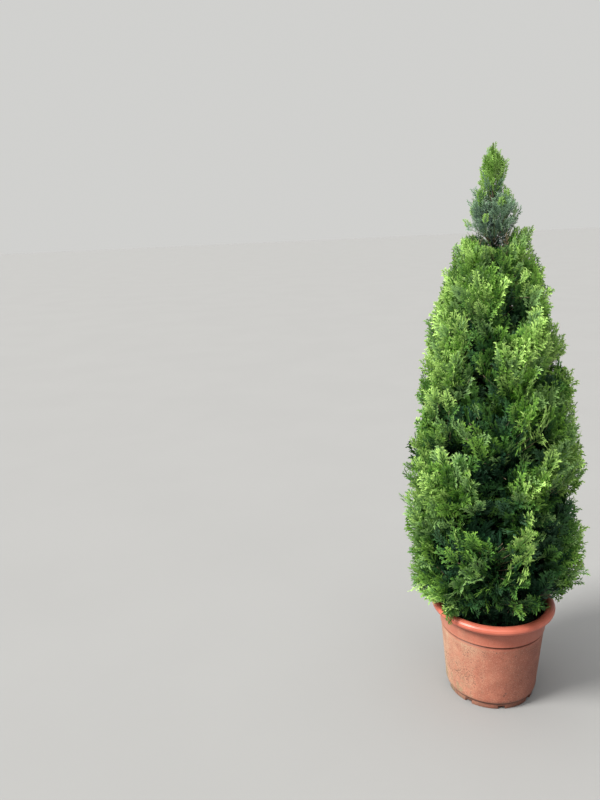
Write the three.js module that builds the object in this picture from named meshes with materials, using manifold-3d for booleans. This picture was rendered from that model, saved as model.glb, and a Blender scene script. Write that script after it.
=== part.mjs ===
// A conical evergreen of the cypress family in its round nursery pot.
// Lengths are millimetres and +Z is up. The origin is the middle of the pot's flat underside.
import * as THREE from "three";
import { mergeVertices } from "three/addons/utils/BufferGeometryUtils.js";
import Module from "manifold-3d";

const wasm = await Module();
wasm.setup();

// Clearances
const seatGap = 0.3; // between a piece and what carries it
const limbGap = 4; // a twig, blade or core keeps this far from trunk and boughs
const spaceGap = 2.5; // and this far inside the edge of its mass's own space

// Pot
const potSides = 32;
const potWall = 5;
const floorThickness = 7;
const foot = { radius: 147, height: 24 };
const body = { footRadius: 151, cornerRadius: 158, cornerHeight: 50, topRadius: 176, topHeight: 257 };
const band = { lowRadius: 179, topRadius: 184 };
const rim = { radius: 194, height: 330, roll: 16, steps: 8 };
const drain = { count: 8, width: 24, height: 11, depth: 24 };

// Soil
const soilLevel = 296.7;
const soil = { flatRadius: 60, edgeDrop: 8 };

// Trunk
const trunk = { sides: 10, steps: 16, foot: soilLevel + seatGap, tip: 1862 };
// The flare swells out in lobes, and the rings are closer near the ground
const trunkSize = { footRadius: 19, tipRadius: 2, ringPower: 1.5 };
const trunkFlare = { swell: 15, height: 45, lobes: 5, lobeDepth: 0.22 };
const lean = { reach: 33, heading: THREE.MathUtils.degToRad(163.7) };

// Crown: [height, radius] down the outside of the foliage
const crownProfile = [
  [298, 216],
  [370, 250],
  [450, 282],
  [560, 300],
  [745, 305],
  [870, 293],
  [1060, 263],
  [1200, 240],
  [1300, 207],
  [1420, 173],
  [1530, 129],
  [1600, 100],
  [1668, 88],
  [1692, 62],
  [1722, 44],
  [1810, 35],
  [1834, 12],
  [1864, 1],
];
const crownTop = 1862;

// Tiers of masses from the ground up. Each mass leaves the trunk at root and ends near tip.
// turn is the heading of the first mass of the tier, in degrees, and jut how far its axis swings out.
const tiers = [
  { name: "skirt", count: 5, root: 338, tip: 436, turn: -70, jut: 0.62, blade: 150, twigs: 9 },
  { name: "lower", count: 5, root: 420, tip: 615, turn: -106, jut: 0.64, blade: 160, twigs: 7, bough: 0.28 },
  { name: "broad", count: 5, root: 565, tip: 830, turn: -64, jut: 0.64, blade: 165, twigs: 7, bough: 0.28 },
  { name: "middle", count: 5, root: 740, tip: 1045, turn: -99, jut: 0.63, blade: 160, twigs: 7, bough: 0.28 },
  { name: "shoulder", count: 4, root: 925, tip: 1250, turn: -71, jut: 0.6, blade: 155, twigs: 7 },
  { name: "upper", count: 4, root: 1120, tip: 1430, turn: -106, jut: 0.56, blade: 135, twigs: 7 },
  { name: "prong", count: 4, root: 1315, tip: 1578, turn: -61, jut: 0.56, blade: 105, twigs: 6 },
  { name: "waist", count: 3, root: 1560, tip: 1678, turn: -46, jut: 0.52, blade: 76, twigs: 6, open: true },
  { name: "spire", count: 3, root: 1680, tip: 1790, turn: 14, jut: 0.42, blade: 66, twigs: 6, open: true },
];
// How far masses of one tier differ: at the trunk, at their tips, at the tips of open ones, in degrees
const scatter = { root: 26, tip: 44, openTip: 18, turn: 14 };
// An axis is a curve of three points: this share of its height at its bend, and of its jut there
const axisBend = { rise: 0.3, out: 0.85 };
const axisSteps = 6; // straight stretches that distances to an axis are measured to

// Boughs and stems
const bough = { sides: 5, steps: 2, radius: { from: 7.5, to: 4.6 } };
const stem = { sides: 3, steps: 3, radius: { from: 4.2, to: 1.8 } };

// Sprays: where they stand along an axis, how they spread from it and swing round it, and their blade
const sprayAlong = { from: 0.34, to: 0.96, last: 0.9 };
const denseSpread = { from: THREE.MathUtils.degToRad(84), to: THREE.MathUtils.degToRad(36) };
const openSpread = { from: THREE.MathUtils.degToRad(62), to: THREE.MathUtils.degToRad(24) };
const spraySwing = THREE.MathUtils.degToRad(105); // either way from the outer side
const sprayRoll = THREE.MathUtils.degToRad(150);
const goldenShare = 0.618; // of the whole swing, from one spray to the next
const sprayFits = [1, 0.78, 0.58]; // sizes that a blade is tried in
const sprayRoom = { most: 1.6, filled: 0.92, least: 0.3 }; // reach in blades, share filled, least blade
const twigRadius = { from: 2.6, to: 1.56 };
// One side of a blade's outline, from its twig to its tip, in blade lengths ahead and aside
const halfBlade = [
  [0.66, 0.34],
  [0.64, 0.14],
];
const bladeRidge = { ahead: 0.46, lift: 0.0275 }; // the thickest place, in blade lengths

// Hearts: part of the way from a mass's axis to the edge of its space, inwards and outwards
const core = { sides: 5, steps: 3, from: 0.31, to: 0.96, inner: 0.8, outer: 0.52, most: 190, least: 5 };
const coreSwell = { from: 0.17, to: 0.9, power: 0.7 }; // the stretch of a sine arch that shapes it
const stride = 3; // of the steps that measure the room in a space

// Colours
const terracotta = { color: 0xc9765b, roughness: 0.62, metalness: 0 };
const wetSoil = { color: 0x1d1713, roughness: 0.95, metalness: 0 };
const bark = { color: 0x6d5645, roughness: 0.9, metalness: 0 };
const sunnyGreen = { color: 0x4f7f1f, roughness: 0.7, metalness: 0 };
const coolGreen = { color: 0x4b7350, roughness: 0.7, metalness: 0 };

// A number from 0 to 1 that two whole numbers always give alike
function chance(a, b) {
  const wave = Math.sin(a * 12.9898 + b * 78.233) * 43758.5453;
  return wave - Math.floor(wave);
}

// The value at a height in a table of [height, value] rows, joined by straight lines
function along(table, height) {
  const last = table.length - 1;
  if (height <= table[0][0]) return table[0][1];
  if (height >= table[last][0]) return table[last][1];
  const row = table.findIndex((entry) => entry[0] > height);
  const [lowHeight, lowValue] = table[row - 1];
  const [highHeight, highValue] = table[row];
  return lowValue + ((highValue - lowValue) * (height - lowHeight)) / (highHeight - lowHeight);
}

// The trunk's middle at a height: it leans evenly one way
function trunkMiddle(height) {
  const share = Math.max(0, (height - trunk.foot) / (crownTop - trunk.foot));
  const away = lean.reach * share;
  return new THREE.Vector3(Math.cos(lean.heading) * away, Math.sin(lean.heading) * away, height);
}

// The trunk's radius at a height: an even taper, and a flare that dies away above the ground
function trunkRadius(height) {
  const share = THREE.MathUtils.clamp((height - trunk.foot) / (trunk.tip - trunk.foot), 0, 1);
  const taper = trunkSize.footRadius + (trunkSize.tipRadius - trunkSize.footRadius) * share;
  const flare = trunkFlare.swell * Math.exp((-2 * (height - trunk.foot)) / trunkFlare.height);
  return taper + flare;
}

// A closed geometry with shared corners, ready to be joined or shown
function tidy(geometry) {
  geometry.deleteAttribute("normal");
  geometry.deleteAttribute("uv");
  return mergeVertices(geometry, 1e-4);
}

function solidOf(geometry) {
  const clean = tidy(geometry);
  return new wasm.Manifold(
    new wasm.Mesh({
      numProp: 3,
      vertProperties: new Float32Array(clean.attributes.position.array),
      triVerts: new Uint32Array(clean.index.array),
    }),
  );
}

// The largest body of a solid: loose scraps and the walls of sealed hollows are left behind
function geometryOf(solid) {
  const bodies = solid.decompose();
  const largest = bodies.reduce((best, next) => (next.volume() > best.volume() ? next : best));
  const mesh = largest.getMesh();
  const geometry = new THREE.BufferGeometry();
  geometry.setAttribute("position", new THREE.BufferAttribute(new Float32Array(mesh.vertProperties), 3));
  geometry.setIndex(new THREE.BufferAttribute(new Uint32Array(mesh.triVerts), 1));
  return geometry;
}

function named(name, geometry, finish) {
  const mesh = new THREE.Mesh(geometry, new THREE.MeshStandardMaterial(finish));
  mesh.name = name;
  return mesh;
}

// A profile of [radius, height] turned about the vertical axis
function turned(profile, sides) {
  const points = profile.map(([radius, height]) => new THREE.Vector2(radius, height));
  return new THREE.LatheGeometry(points, sides).rotateX(Math.PI / 2);
}

// The inside of the pot from its floor up, drawn in by a clearance
function potInside(clearance) {
  return [
    [foot.radius - potWall - clearance, floorThickness + clearance],
    [foot.radius - potWall - clearance, foot.height + potWall + clearance],
    [body.cornerRadius - potWall - clearance, body.cornerHeight + potWall],
    [body.topRadius - potWall - clearance, body.topHeight],
  ];
}

function makePot() {
  const roll = [];
  const start = -Math.acos((band.topRadius - rim.radius) / rim.roll);
  for (let step = 0; step < rim.steps; step += 1) {
    const angle = start + ((Math.PI - start) * step) / (rim.steps - 1);
    roll.push([rim.radius + rim.roll * Math.cos(angle), rim.height + rim.roll * Math.sin(angle)]);
  }
  const shell = turned(
    [
      [0, 0],
      [foot.radius, 0],
      [foot.radius, foot.height],
      [body.footRadius, foot.height],
      [(body.footRadius + body.cornerRadius) / 2 + 1.5, (foot.height + body.cornerHeight) / 2],
      [body.cornerRadius, body.cornerHeight],
      [body.topRadius, body.topHeight],
      [band.lowRadius, body.topHeight + 1],
      ...roll,
      ...potInside(0).reverse(),
      [0, floorThickness],
    ],
    potSides,
  );
  let pot = solidOf(shell);
  for (let hole = 0; hole < drain.count; hole += 1) {
    const slot = new THREE.BoxGeometry(drain.depth, drain.width, drain.height * 2);
    slot.translate(foot.radius, 0, 0).rotateZ((2 * Math.PI * hole) / drain.count);
    pot = pot.subtract(solidOf(slot));
  }
  return named("pot", geometryOf(pot), terracotta);
}

function makeSoil() {
  const inside = potInside(seatGap);
  const edge = inside.at(-1)[0];
  const profile = [
    [0, inside[0][1]],
    ...inside,
    [edge + 2, soilLevel - soil.edgeDrop],
    [soil.flatRadius, soilLevel],
    [0, soilLevel],
  ];
  return named("soil", tidy(turned(profile, potSides / 2)), wetSoil);
}

// The trunk with level rings, grown by a clearance where it cuts its neighbours
function trunkShape(clearance) {
  const shape = new THREE.CylinderGeometry(1, 1, 1, trunk.sides, trunk.steps).rotateX(Math.PI / 2);
  const corner = shape.attributes.position;
  for (let index = 0; index < corner.count; index += 1) {
    const share = corner.getZ(index) + 0.5;
    const height = trunk.foot + (trunk.tip - trunk.foot) * share ** trunkSize.ringPower;
    const turn = Math.atan2(corner.getY(index), corner.getX(index));
    const low = Math.exp(-(height - trunk.foot) / trunkFlare.height);
    const lobe = 1 + trunkFlare.lobeDepth * low * Math.cos(trunkFlare.lobes * turn);
    const radius = trunkRadius(height) * lobe + clearance;
    const middle = trunkMiddle(height);
    const x = middle.x + corner.getX(index) * radius;
    const y = middle.y + corner.getY(index) * radius;
    corner.setXYZ(index, x, y, height);
  }
  return shape;
}

// A round limb with the given number of sides, bent along a curve, tapering between two radii
function limb(curve, radius, sides, steps) {
  const shape = new THREE.CylinderGeometry(1, 1, 1, sides, steps);
  const frames = curve.computeFrenetFrames(steps, false);
  const corner = shape.attributes.position;
  const spot = new THREE.Vector3();
  for (let index = 0; index < corner.count; index += 1) {
    const share = corner.getY(index) + 0.5;
    const ring = Math.round(share * steps);
    const width = radius.from + (radius.to - radius.from) * share;
    curve.getPointAt(share, spot);
    spot.addScaledVector(frames.normals[ring], corner.getX(index) * width);
    spot.addScaledVector(frames.binormals[ring], -corner.getZ(index) * width);
    corner.setXYZ(index, spot.x, spot.y, spot.z);
  }
  return shape;
}

// A part of a curve, as a curve of its own
class Stretch extends THREE.Curve {
  constructor(whole, from, to) {
    super();
    Object.assign(this, { whole, from, to });
  }
  getPoint(share, target = new THREE.Vector3()) {
    return this.whole.getPointAt(this.from + (this.to - this.from) * share, target);
  }
}

// Every mass: its axis bends out from the trunk and then up
function planMasses() {
  const plans = [];
  tiers.forEach((tier, level) => {
    for (let place = 0; place < tier.count; place += 1) {
      const seed = level * 10 + place;
      const astray = (kind, width) => (chance(seed, kind) - 0.5) * width;
      const root = tier.root + astray(1, scatter.root);
      const tip = tier.tip + astray(2, tier.open ? scatter.openTip : scatter.tip);
      const degrees = tier.turn + (360 * place) / tier.count + astray(3, scatter.turn);
      const heading = THREE.MathUtils.degToRad(degrees);
      const outward = new THREE.Vector3(Math.cos(heading), Math.sin(heading), 0);
      const bend = root + (tip - root) * axisBend.rise;
      const out = (height, share) =>
        trunkMiddle(height).addScaledVector(outward, share * along(crownProfile, height));
      const middle = out(bend, tier.jut * axisBend.out);
      const axis = new THREE.QuadraticBezierCurve3(out(root, 0), middle, out(tip, tier.jut));
      plans.push({
        tier,
        axis,
        outward,
        seed,
        name: `mass_${tier.name}_${place + 1}`,
        bough: tier.bough ? `bough_${tier.name}_${place + 1}` : null,
        length: axis.getLength(),
        points: axis.getSpacedPoints(axisSteps),
      });
    }
  });
  return plans;
}

const masses = planMasses();
const piece = new THREE.Line3();
const nearest = new THREE.Vector3();

// How far a point lies from a row of points joined by straight lines
function distanceToRow(spot, points) {
  let best = Infinity;
  for (let index = 1; index < points.length; index += 1) {
    piece.set(points[index - 1], points[index]);
    piece.closestPointToPoint(spot, true, nearest);
    best = Math.min(best, nearest.distanceTo(spot));
  }
  return best;
}

function clearOfLimbs(spot) {
  const middle = trunkMiddle(spot.z);
  const fromTrunk = Math.hypot(spot.x - middle.x, spot.y - middle.y);
  if (spot.z < trunk.tip + limbGap && fromTrunk < trunkRadius(spot.z) + limbGap) return false;
  return masses.every((mass) => {
    if (!mass.bough) return true;
    return distanceToRow(spot, mass.boughPoints) > bough.radius.from + limbGap;
  });
}

function clearOfPot(spot) {
  const fromAxis = Math.hypot(spot.x, spot.y);
  if (fromAxis < rim.radius && spot.z < soilLevel + limbGap) return false;
  if (spot.z < rim.height && Math.abs(fromAxis - rim.radius) < rim.roll + limbGap) return false;
  return Math.hypot(fromAxis - rim.radius, spot.z - rim.height) > rim.roll + limbGap;
}

// A mass's own space: inside the crown, nearer to its axis than to any other, clear of limbs and pot
function inSpace(spot, mass) {
  const middle = trunkMiddle(spot.z);
  const out = Math.hypot(spot.x - middle.x, spot.y - middle.y);
  if (spot.z > crownTop || out > along(crownProfile, spot.z)) return false;
  if (!clearOfPot(spot) || !clearOfLimbs(spot)) return false;
  const own = distanceToRow(spot, mass.points) + 2 * spaceGap;
  return masses.every((other) => other === mass || distanceToRow(spot, other.points) > own);
}

// How far one can go from a point in a direction before leaving the space
function reach(from, direction, mass, most) {
  const spot = new THREE.Vector3();
  let far = 0;
  while (far < most) {
    spot.copy(from).addScaledVector(direction, far + stride);
    if (!inSpace(spot, mass)) break;
    far += stride;
  }
  return far;
}

// A spray as one closed body: a three-sided twig that opens into a flat toothed blade.
// from and to are the twig's ends, forward its direction, across the blade's width direction.
function sprayGeometry(from, to, forward, across, length) {
  const face = new THREE.Vector3().crossVectors(forward, across);
  const place = (base, ahead, aside, lift) =>
    base.clone().addScaledVector(forward, ahead).addScaledVector(across, aside).addScaledVector(face, lift);
  const ring = (base, radius) => [
    place(base, 0, 0, radius),
    place(base, 0, (radius * Math.sqrt(3)) / 2, -radius / 2),
    place(base, 0, (-radius * Math.sqrt(3)) / 2, -radius / 2),
  ];
  const blade = ([ahead, aside]) => place(to, ahead * length, aside * length, 0);
  const outline = [...halfBlade.map(blade), blade([1, 0])];
  outline.push(...halfBlade.toReversed().map(([ahead, aside]) => blade([ahead, -aside])));
  const corners = [...ring(from, twigRadius.from), ...ring(to, twigRadius.to), ...outline];
  const above = corners.push(place(to, bladeRidge.ahead * length, 0, bladeRidge.lift * length)) - 1;
  const below = corners.push(place(to, bladeRidge.ahead * length, 0, -bladeRidge.lift * length)) - 1;
  const edge = [4, ...outline.map((corner, index) => 6 + index), 5];
  const faces = [0, 1, 2, above, 4, 3, above, 3, 5, below, 5, 4];
  for (let index = 0; index < 3; index += 1) {
    const next = (index + 1) % 3;
    faces.push(index, 3 + index, next, next, 3 + index, 3 + next);
  }
  for (let index = 1; index < edge.length; index += 1) {
    faces.push(above, edge[index], edge[index - 1], below, edge[index - 1], edge[index]);
  }
  const geometry = new THREE.BufferGeometry().setFromPoints(corners);
  geometry.setIndex(faces);
  return { geometry, outline };
}

// Adds a spray in the largest size whose corners stay in the mass's space, or none
function growSpray(parts, mass, from, direction, roll) {
  const most = mass.tier.blade;
  const room = reach(from, direction, mass, most * sprayRoom.most);
  const side = new THREE.Vector3(0, 0, 1).cross(direction);
  if (side.length() < 0.2) side.crossVectors(mass.outward, direction);
  const across = side.normalize().applyAxisAngle(direction, roll);
  for (const fit of sprayFits) {
    const blade = Math.min(most, room * sprayRoom.filled) * fit;
    const to = from.clone().addScaledVector(direction, room - blade);
    const { geometry, outline } = sprayGeometry(from, to, direction, across, blade);
    if (blade < most * sprayRoom.least || !outline.every((corner) => inSpace(corner, mass))) continue;
    parts.push(geometry);
    return;
  }
}

// The dense heart of a mass, part of the way from its axis to the edge of its space
function coreGeometry(mass) {
  const stretch = new Stretch(mass.axis, core.from, core.to);
  const shape = limb(stretch, { from: 1, to: 1 }, core.sides, core.steps);
  const rings = new THREE.CylinderGeometry(1, 1, 1, core.sides, core.steps).attributes.position;
  const corner = shape.attributes.position;
  const spot = new THREE.Vector3();
  const middle = new THREE.Vector3();
  for (let index = 0; index < corner.count; index += 1) {
    const share = rings.getY(index) + 0.5;
    stretch.getPointAt(share, middle);
    const direction = spot.fromBufferAttribute(corner, index).clone().sub(middle);
    if (direction.length() < 0.5) continue;
    direction.normalize();
    const outer = (1 + direction.dot(mass.outward)) / 2;
    const part = THREE.MathUtils.lerp(core.inner, core.outer, outer);
    const swell = Math.sin(Math.PI * THREE.MathUtils.lerp(coreSwell.from, coreSwell.to, share));
    const room = reach(middle, direction, mass, core.most);
    const width = Math.max(core.least, room * part * swell ** coreSwell.power);
    spot.copy(middle).addScaledVector(direction, width);
    corner.setXYZ(index, spot.x, spot.y, spot.z);
  }
  return shape;
}

function makeMass(mass) {
  const { tier, axis, length, outward, seed } = mass;
  const start = mass.bough ? tier.bough + seatGap / length : 0;
  const parts = [limb(new Stretch(axis, start, 1), stem.radius, stem.sides, stem.steps)];
  if (!tier.open) parts.push(coreGeometry(mass));
  const tilt = tier.open ? openSpread : denseSpread;
  for (let index = 0; index < tier.twigs; index += 1) {
    const order = index / (tier.twigs - 1);
    const share = THREE.MathUtils.lerp(sprayAlong.from, sprayAlong.to, order);
    const tangent = axis.getTangentAt(share);
    const outer = outward.clone().addScaledVector(tangent, -outward.dot(tangent)).normalize();
    const aside = new THREE.Vector3().crossVectors(tangent, outer);
    const swing = spraySwing * (2 * ((index * goldenShare + chance(seed, 20)) % 1) - 1);
    const spread = THREE.MathUtils.lerp(tilt.from, tilt.to, order);
    const direction = tangent
      .multiplyScalar(Math.cos(spread))
      .addScaledVector(outer, Math.sin(spread) * Math.cos(swing))
      .addScaledVector(aside, Math.sin(spread) * Math.sin(swing));
    const roll = (chance(seed, 40 + index) - 0.5) * sprayRoll;
    growSpray(parts, mass, axis.getPointAt(share), direction, roll);
  }
  const lastRoll = (chance(seed, 60) - 0.5) * sprayRoll;
  growSpray(parts, mass, axis.getPointAt(sprayAlong.last), axis.getTangentAt(1), lastRoll);
  const whole = parts.map(solidOf).reduce((joined, next) => joined.add(next));
  return named(mass.name, geometryOf(whole.subtract(trunkCutter)), tier.open ? coolGreen : sunnyGreen);
}

function makeBough(mass) {
  const shape = limb(new Stretch(mass.axis, 0, mass.tier.bough), bough.radius, bough.sides, bough.steps);
  return named(mass.bough, geometryOf(solidOf(shape).subtract(trunkCutter)), bark);
}

for (const mass of masses) {
  if (mass.bough) mass.boughPoints = new Stretch(mass.axis, 0, mass.tier.bough).getSpacedPoints(bough.steps);
}
const trunkCutter = solidOf(trunkShape(seatGap));

const plant = new THREE.Group();
plant.add(makePot(), makeSoil(), named("trunk", tidy(trunkShape(0)), bark));
for (const mass of masses) {
  if (mass.bough) plant.add(makeBough(mass));
  plant.add(makeMass(mass));
}
export default plant;
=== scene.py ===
import math

import bmesh
import bpy
import numpy as np
from mathutils import Matrix, Vector


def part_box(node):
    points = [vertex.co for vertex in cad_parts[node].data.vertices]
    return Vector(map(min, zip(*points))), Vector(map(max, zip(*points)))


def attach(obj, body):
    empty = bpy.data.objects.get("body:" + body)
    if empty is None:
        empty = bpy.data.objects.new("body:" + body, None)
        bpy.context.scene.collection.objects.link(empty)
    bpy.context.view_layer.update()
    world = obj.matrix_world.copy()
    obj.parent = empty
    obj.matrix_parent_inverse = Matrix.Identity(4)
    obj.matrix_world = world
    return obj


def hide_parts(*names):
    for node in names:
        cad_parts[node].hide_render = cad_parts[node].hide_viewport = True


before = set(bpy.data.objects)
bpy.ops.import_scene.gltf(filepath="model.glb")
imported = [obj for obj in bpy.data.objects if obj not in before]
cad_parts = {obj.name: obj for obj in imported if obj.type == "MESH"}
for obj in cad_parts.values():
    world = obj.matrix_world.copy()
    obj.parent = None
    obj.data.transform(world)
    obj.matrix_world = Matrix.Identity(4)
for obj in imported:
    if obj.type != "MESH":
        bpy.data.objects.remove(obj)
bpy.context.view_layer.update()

mm = 0.001
up = np.array([0.0, 0.0, 1.0])
print("frame loaded with", len(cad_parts), "nodes")

# what the limbs and the foliage grow by, as in the part, in metres and degrees
plantRule = {
    "soilLevel": 296.7 * mm,
    "trunkFoot": 297 * mm,
    "crownTop": 1862 * mm,
    # the trunk's radius at its foot and what it loses up to its tip, in mm, and its root flare
    "footRadius": 19,
    "taper": 17,
    "flare": 15 * mm,
    "flareHeight": 45 * mm,
    "leanReach": 33 * mm,
    "leanHeading": 163.7,
    "limbGap": 4 * mm,
    "scatterRoot": 26 * mm,
    "scatterTip": 44 * mm,
    "scatterOpenTip": 18 * mm,
    "scatterTurn": 14,
    "bendRise": 0.3,
    "bendOut": 0.85,
    "axisSteps": 6,
    "swing": 105,
    "goldenShare": 0.618,
    "roll": 150,
    "denseSpread": (84, 36),
    "openSpread": (62, 24),
}

# height and radius down the outside of the foliage, in millimetres
crownProfile = np.array([
    [298, 216], [370, 250], [450, 282], [560, 300], [745, 305], [870, 293],
    [1060, 263], [1200, 240], [1300, 207], [1420, 173], [1530, 129], [1600, 100],
    [1668, 88], [1692, 62], [1722, 44], [1810, 35], [1834, 12], [1864, 1],
]) * mm

# tiers of masses from the ground up: name, masses, root and tip in mm, first heading, jut,
# blade in mm, whether boughs carry them, open or dense, twigs of each mass
tierRows = [
    ("skirt", 5, 338, 436, -70, 0.62, 150, False, False, 58),
    ("lower", 5, 420, 615, -106, 0.64, 160, True, False, 78),
    ("broad", 5, 565, 830, -64, 0.64, 165, True, False, 78),
    ("middle", 5, 740, 1045, -99, 0.63, 160, True, False, 78),
    ("shoulder", 4, 925, 1250, -71, 0.6, 155, False, False, 78),
    ("upper", 4, 1120, 1430, -106, 0.56, 135, False, False, 68),
    ("prong", 4, 1315, 1578, -61, 0.56, 105, False, False, 54),
    ("waist", 3, 1560, 1678, -46, 0.52, 76, False, True, 17),
    ("spire", 3, 1680, 1790, 14, 0.42, 66, False, True, 13),
]

chanceNumbers = (12.9898, 78.233, 43758.5453)
# how far apart in the draws the noises of two seeds are
seedSteps = (17.3, 3.7)


# a number from 0 to 1: the fraction of c sin(p a + q b), where b tells one kind of draw from another
def chance(a, b):
    p, q, c = chanceNumbers
    wave = np.sin(np.asarray(a) * p + np.asarray(b) * q) * c
    return wave - np.floor(wave)


# a draw from minus half the width to plus half of it
def scatter(a, b, width=1.0):
    return (chance(a, b) - 0.5) * width


# numbers on a lattice joined by smooth steps; across repeats after a whole number of cells
def softNoise(across, upward, cells, seed):
    column, row = np.floor(across), np.floor(upward)
    stepAcross, stepUp = across - column, upward - row
    stepAcross = stepAcross**2 * (3 - 2 * stepAcross)
    stepUp = stepUp**2 * (3 - 2 * stepUp)

    def corner(right, above):
        return chance(np.mod(column + right, cells) + seedSteps[0] * seed, row + above + seedSteps[1] * seed)

    low = corner(0, 0) * (1 - stepAcross) + corner(1, 0) * stepAcross
    high = corner(0, 1) * (1 - stepAcross) + corner(1, 1) * stepAcross
    return low * (1 - stepUp) + high * stepUp


# each row of vectors divided by its length
def unit(rows):
    return rows / np.maximum(np.linalg.norm(rows, axis=-1, keepdims=True), 1e-9)


# degrees from -180 to 180 between headings and a middle one
def turnedFrom(headings, middle):
    return np.mod(headings - middle + 180, 360) - 180


# the outline's radius at a height, on straight lines between the profile's points
def crownRadius(height):
    return np.interp(height, crownProfile[:, 0], crownProfile[:, 1])


# the trunk's middle goes evenly to one side as it rises
def trunkMiddle(height):
    foot, top = plantRule["trunkFoot"], plantRule["crownTop"]
    away = plantRule["leanReach"] * np.maximum(0, (height - foot) / (top - foot))
    heading = math.radians(plantRule["leanHeading"])
    return np.stack([math.cos(heading) * away, math.sin(heading) * away, height + 0 * away], axis=-1)


# the trunk's radius: an even taper, and a flare that dies away as e^(-2 rise / flare height)
def trunkRadius(height):
    rule = plantRule
    rise = height - rule["trunkFoot"]
    share = np.clip(rise / (rule["crownTop"] - rule["trunkFoot"]), 0, 1)
    flare = rule["flare"] * np.exp(-2 * rise / rule["flareHeight"])
    return (rule["footRadius"] - rule["taper"] * share) * mm + flare


prongSettings = {"middle": 1606 * mm, "tilt": 14 * mm, "valley": 51 * mm, "from": -16}


# the dense foliage ends in prongs at the height middle + tilt cos a - valley sin^2 a,
# where a is the heading past that of one prong
def denseTop(points):
    s = prongSettings
    turn = np.arctan2(points[:, 1], points[:, 0]) - math.radians(s["from"])
    return s["middle"] + s["tilt"] * np.cos(turn) - s["valley"] * np.sin(turn) ** 2


# the foliage stands in plumes, and between them its surface sinks in
plumeSettings = {
    "cells": 15,
    "tall": 215 * mm,
    "slant": 2,
    "deep": 68 * mm,
    "fineCells": 31,
    "fineTall": 84 * mm,
    "coarseShare": 0.72,
    # the surface starts to sink where the noise is below the first number, and is deepest where it is
    # lower still by the second
    "sinksBelow": 0.56,
    "softness": 0.34,
    # share of the full depth at two heights in metres, and how it shrinks where the crown is slim
    "shallowHeights": (0.38, 0.56),
    "shallowShares": (0.35, 1),
    "fullRadius": 0.3,
    "slimming": 1.6,
    # dark gaps between the plumes: heading, height, half-width in degrees, half-height and depth in mm
    "gaps": [
        (-75, 1425, 9, 105, 85), (-113, 1310, 8, 85, 80), (-88, 1325, 14, 42, 90), (-111, 1172, 9, 40, 45),
        (-95, 1098, 8, 32, 60), (-101, 1026, 11, 48, 100), (-77, 928, 10, 46, 100), (-109, 862, 8, 80, 110),
        (-95, 912, 8, 48, 100), (-97, 782, 9, 38, 95), (-102, 690, 8, 62, 115), (-103, 566, 8, 48, 95),
        (-67, 600, 8, 80, 60), (-107, 440, 14, 50, 55), (-132, 1130, 7, 60, 60), (-60, 760, 8, 50, 70),
        (-138, 800, 8, 45, 30), (-131, 890, 9, 36, 55), (-125, 742, 8, 42, 65), (-129, 646, 10, 28, 60),
        (-128, 1262, 8, 56, 60), (-150, 905, 8, 38, 55), (-152, 640, 9, 34, 55), (-122, 1062, 8, 34, 60),
        (-145, 530, 9, 34, 50), (-20, 684, 20, 62, 40), (-60, 452, 12, 36, 50), (-99, 1492, 11, 34, 40),
        (-16, 1296, 14, 42, 36),
    ],
    # places where the outline stays full: heading, height, half-width in degrees and half-height in mm
    "full": [
        (168, 1325, 16, 75), (-14, 490, 20, 85), (172, 420, 16, 50), (166, 745, 14, 50), (-16, 1180, 14, 60),
        (-16, 1020, 14, 60), (-14, 872, 12, 40), (-12, 1555, 18, 45), (-66, 1015, 14, 62),
        (-142, 985, 19, 75), (170, 905, 16, 60), (-148, 860, 14, 60),
    ],
}


# how deep the surface is sunk at each point: the low part of a coarse and a fine noise round the crown,
# less e^(-r^3) of itself at the full places, and at least e^(-r^3) of its depth at each gap
def plumeHollow(points):
    s = plumeSettings
    height = points[:, 2]
    middle = trunkMiddle(height)
    x, y = points[:, 0] - middle[:, 0], points[:, 1] - middle[:, 1]
    around = np.arctan2(y, x) / (2 * math.pi) + 0.5
    coarse = softNoise(around * s["cells"], height / s["tall"] + around * s["slant"], s["cells"], 21)
    fine = softNoise(around * s["fineCells"], height / s["fineTall"], s["fineCells"], 24)
    mixed = s["coarseShare"] * coarse + (1 - s["coarseShare"]) * fine
    sunk = np.clip((s["sinksBelow"] - mixed) / s["softness"], 0, 1)
    sunk = sunk * np.interp(height, s["shallowHeights"], s["shallowShares"])
    depth = sunk * s["deep"] * (crownRadius(height) / s["fullRadius"]) ** s["slimming"]

    def nearness(heading, level, halfWidth, halfHeight):
        turned = np.mod(around * 360 - heading, 360) - 180
        return np.exp(-((turned / halfWidth) ** 2 + ((height - level * mm) / (halfHeight * mm)) ** 2) ** 1.5)

    for place in s["full"]:
        depth = depth * (1 - nearness(*place))
    for *place, deep in s["gaps"]:
        depth = np.maximum(depth, deep * mm * nearness(*place))
    return depth


# quads between the rows and columns of a grid of points, with the last column joined to the first
def gridFaces(rows, columns, grids=1):
    row, column = np.meshgrid(np.arange(rows - 1), np.arange(columns), indexing="ij")
    nextColumn = (column + 1) % columns
    quads = np.stack(
        [row * columns + column, row * columns + nextColumn,
         (row + 1) * columns + nextColumn, (row + 1) * columns + column], axis=-1
    ).reshape(-1, 4)
    shift = np.arange(grids)[:, None, None] * rows * columns
    return (quads[None] + shift).reshape(-1, 4)


# circles of points about the vertical: (r cos a, r sin a, h) for each radius and height, in rows
def circles(radius, height, turn):
    return np.stack([radius * np.cos(turn), radius * np.sin(turn), height + 0 * turn], axis=-1)


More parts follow.
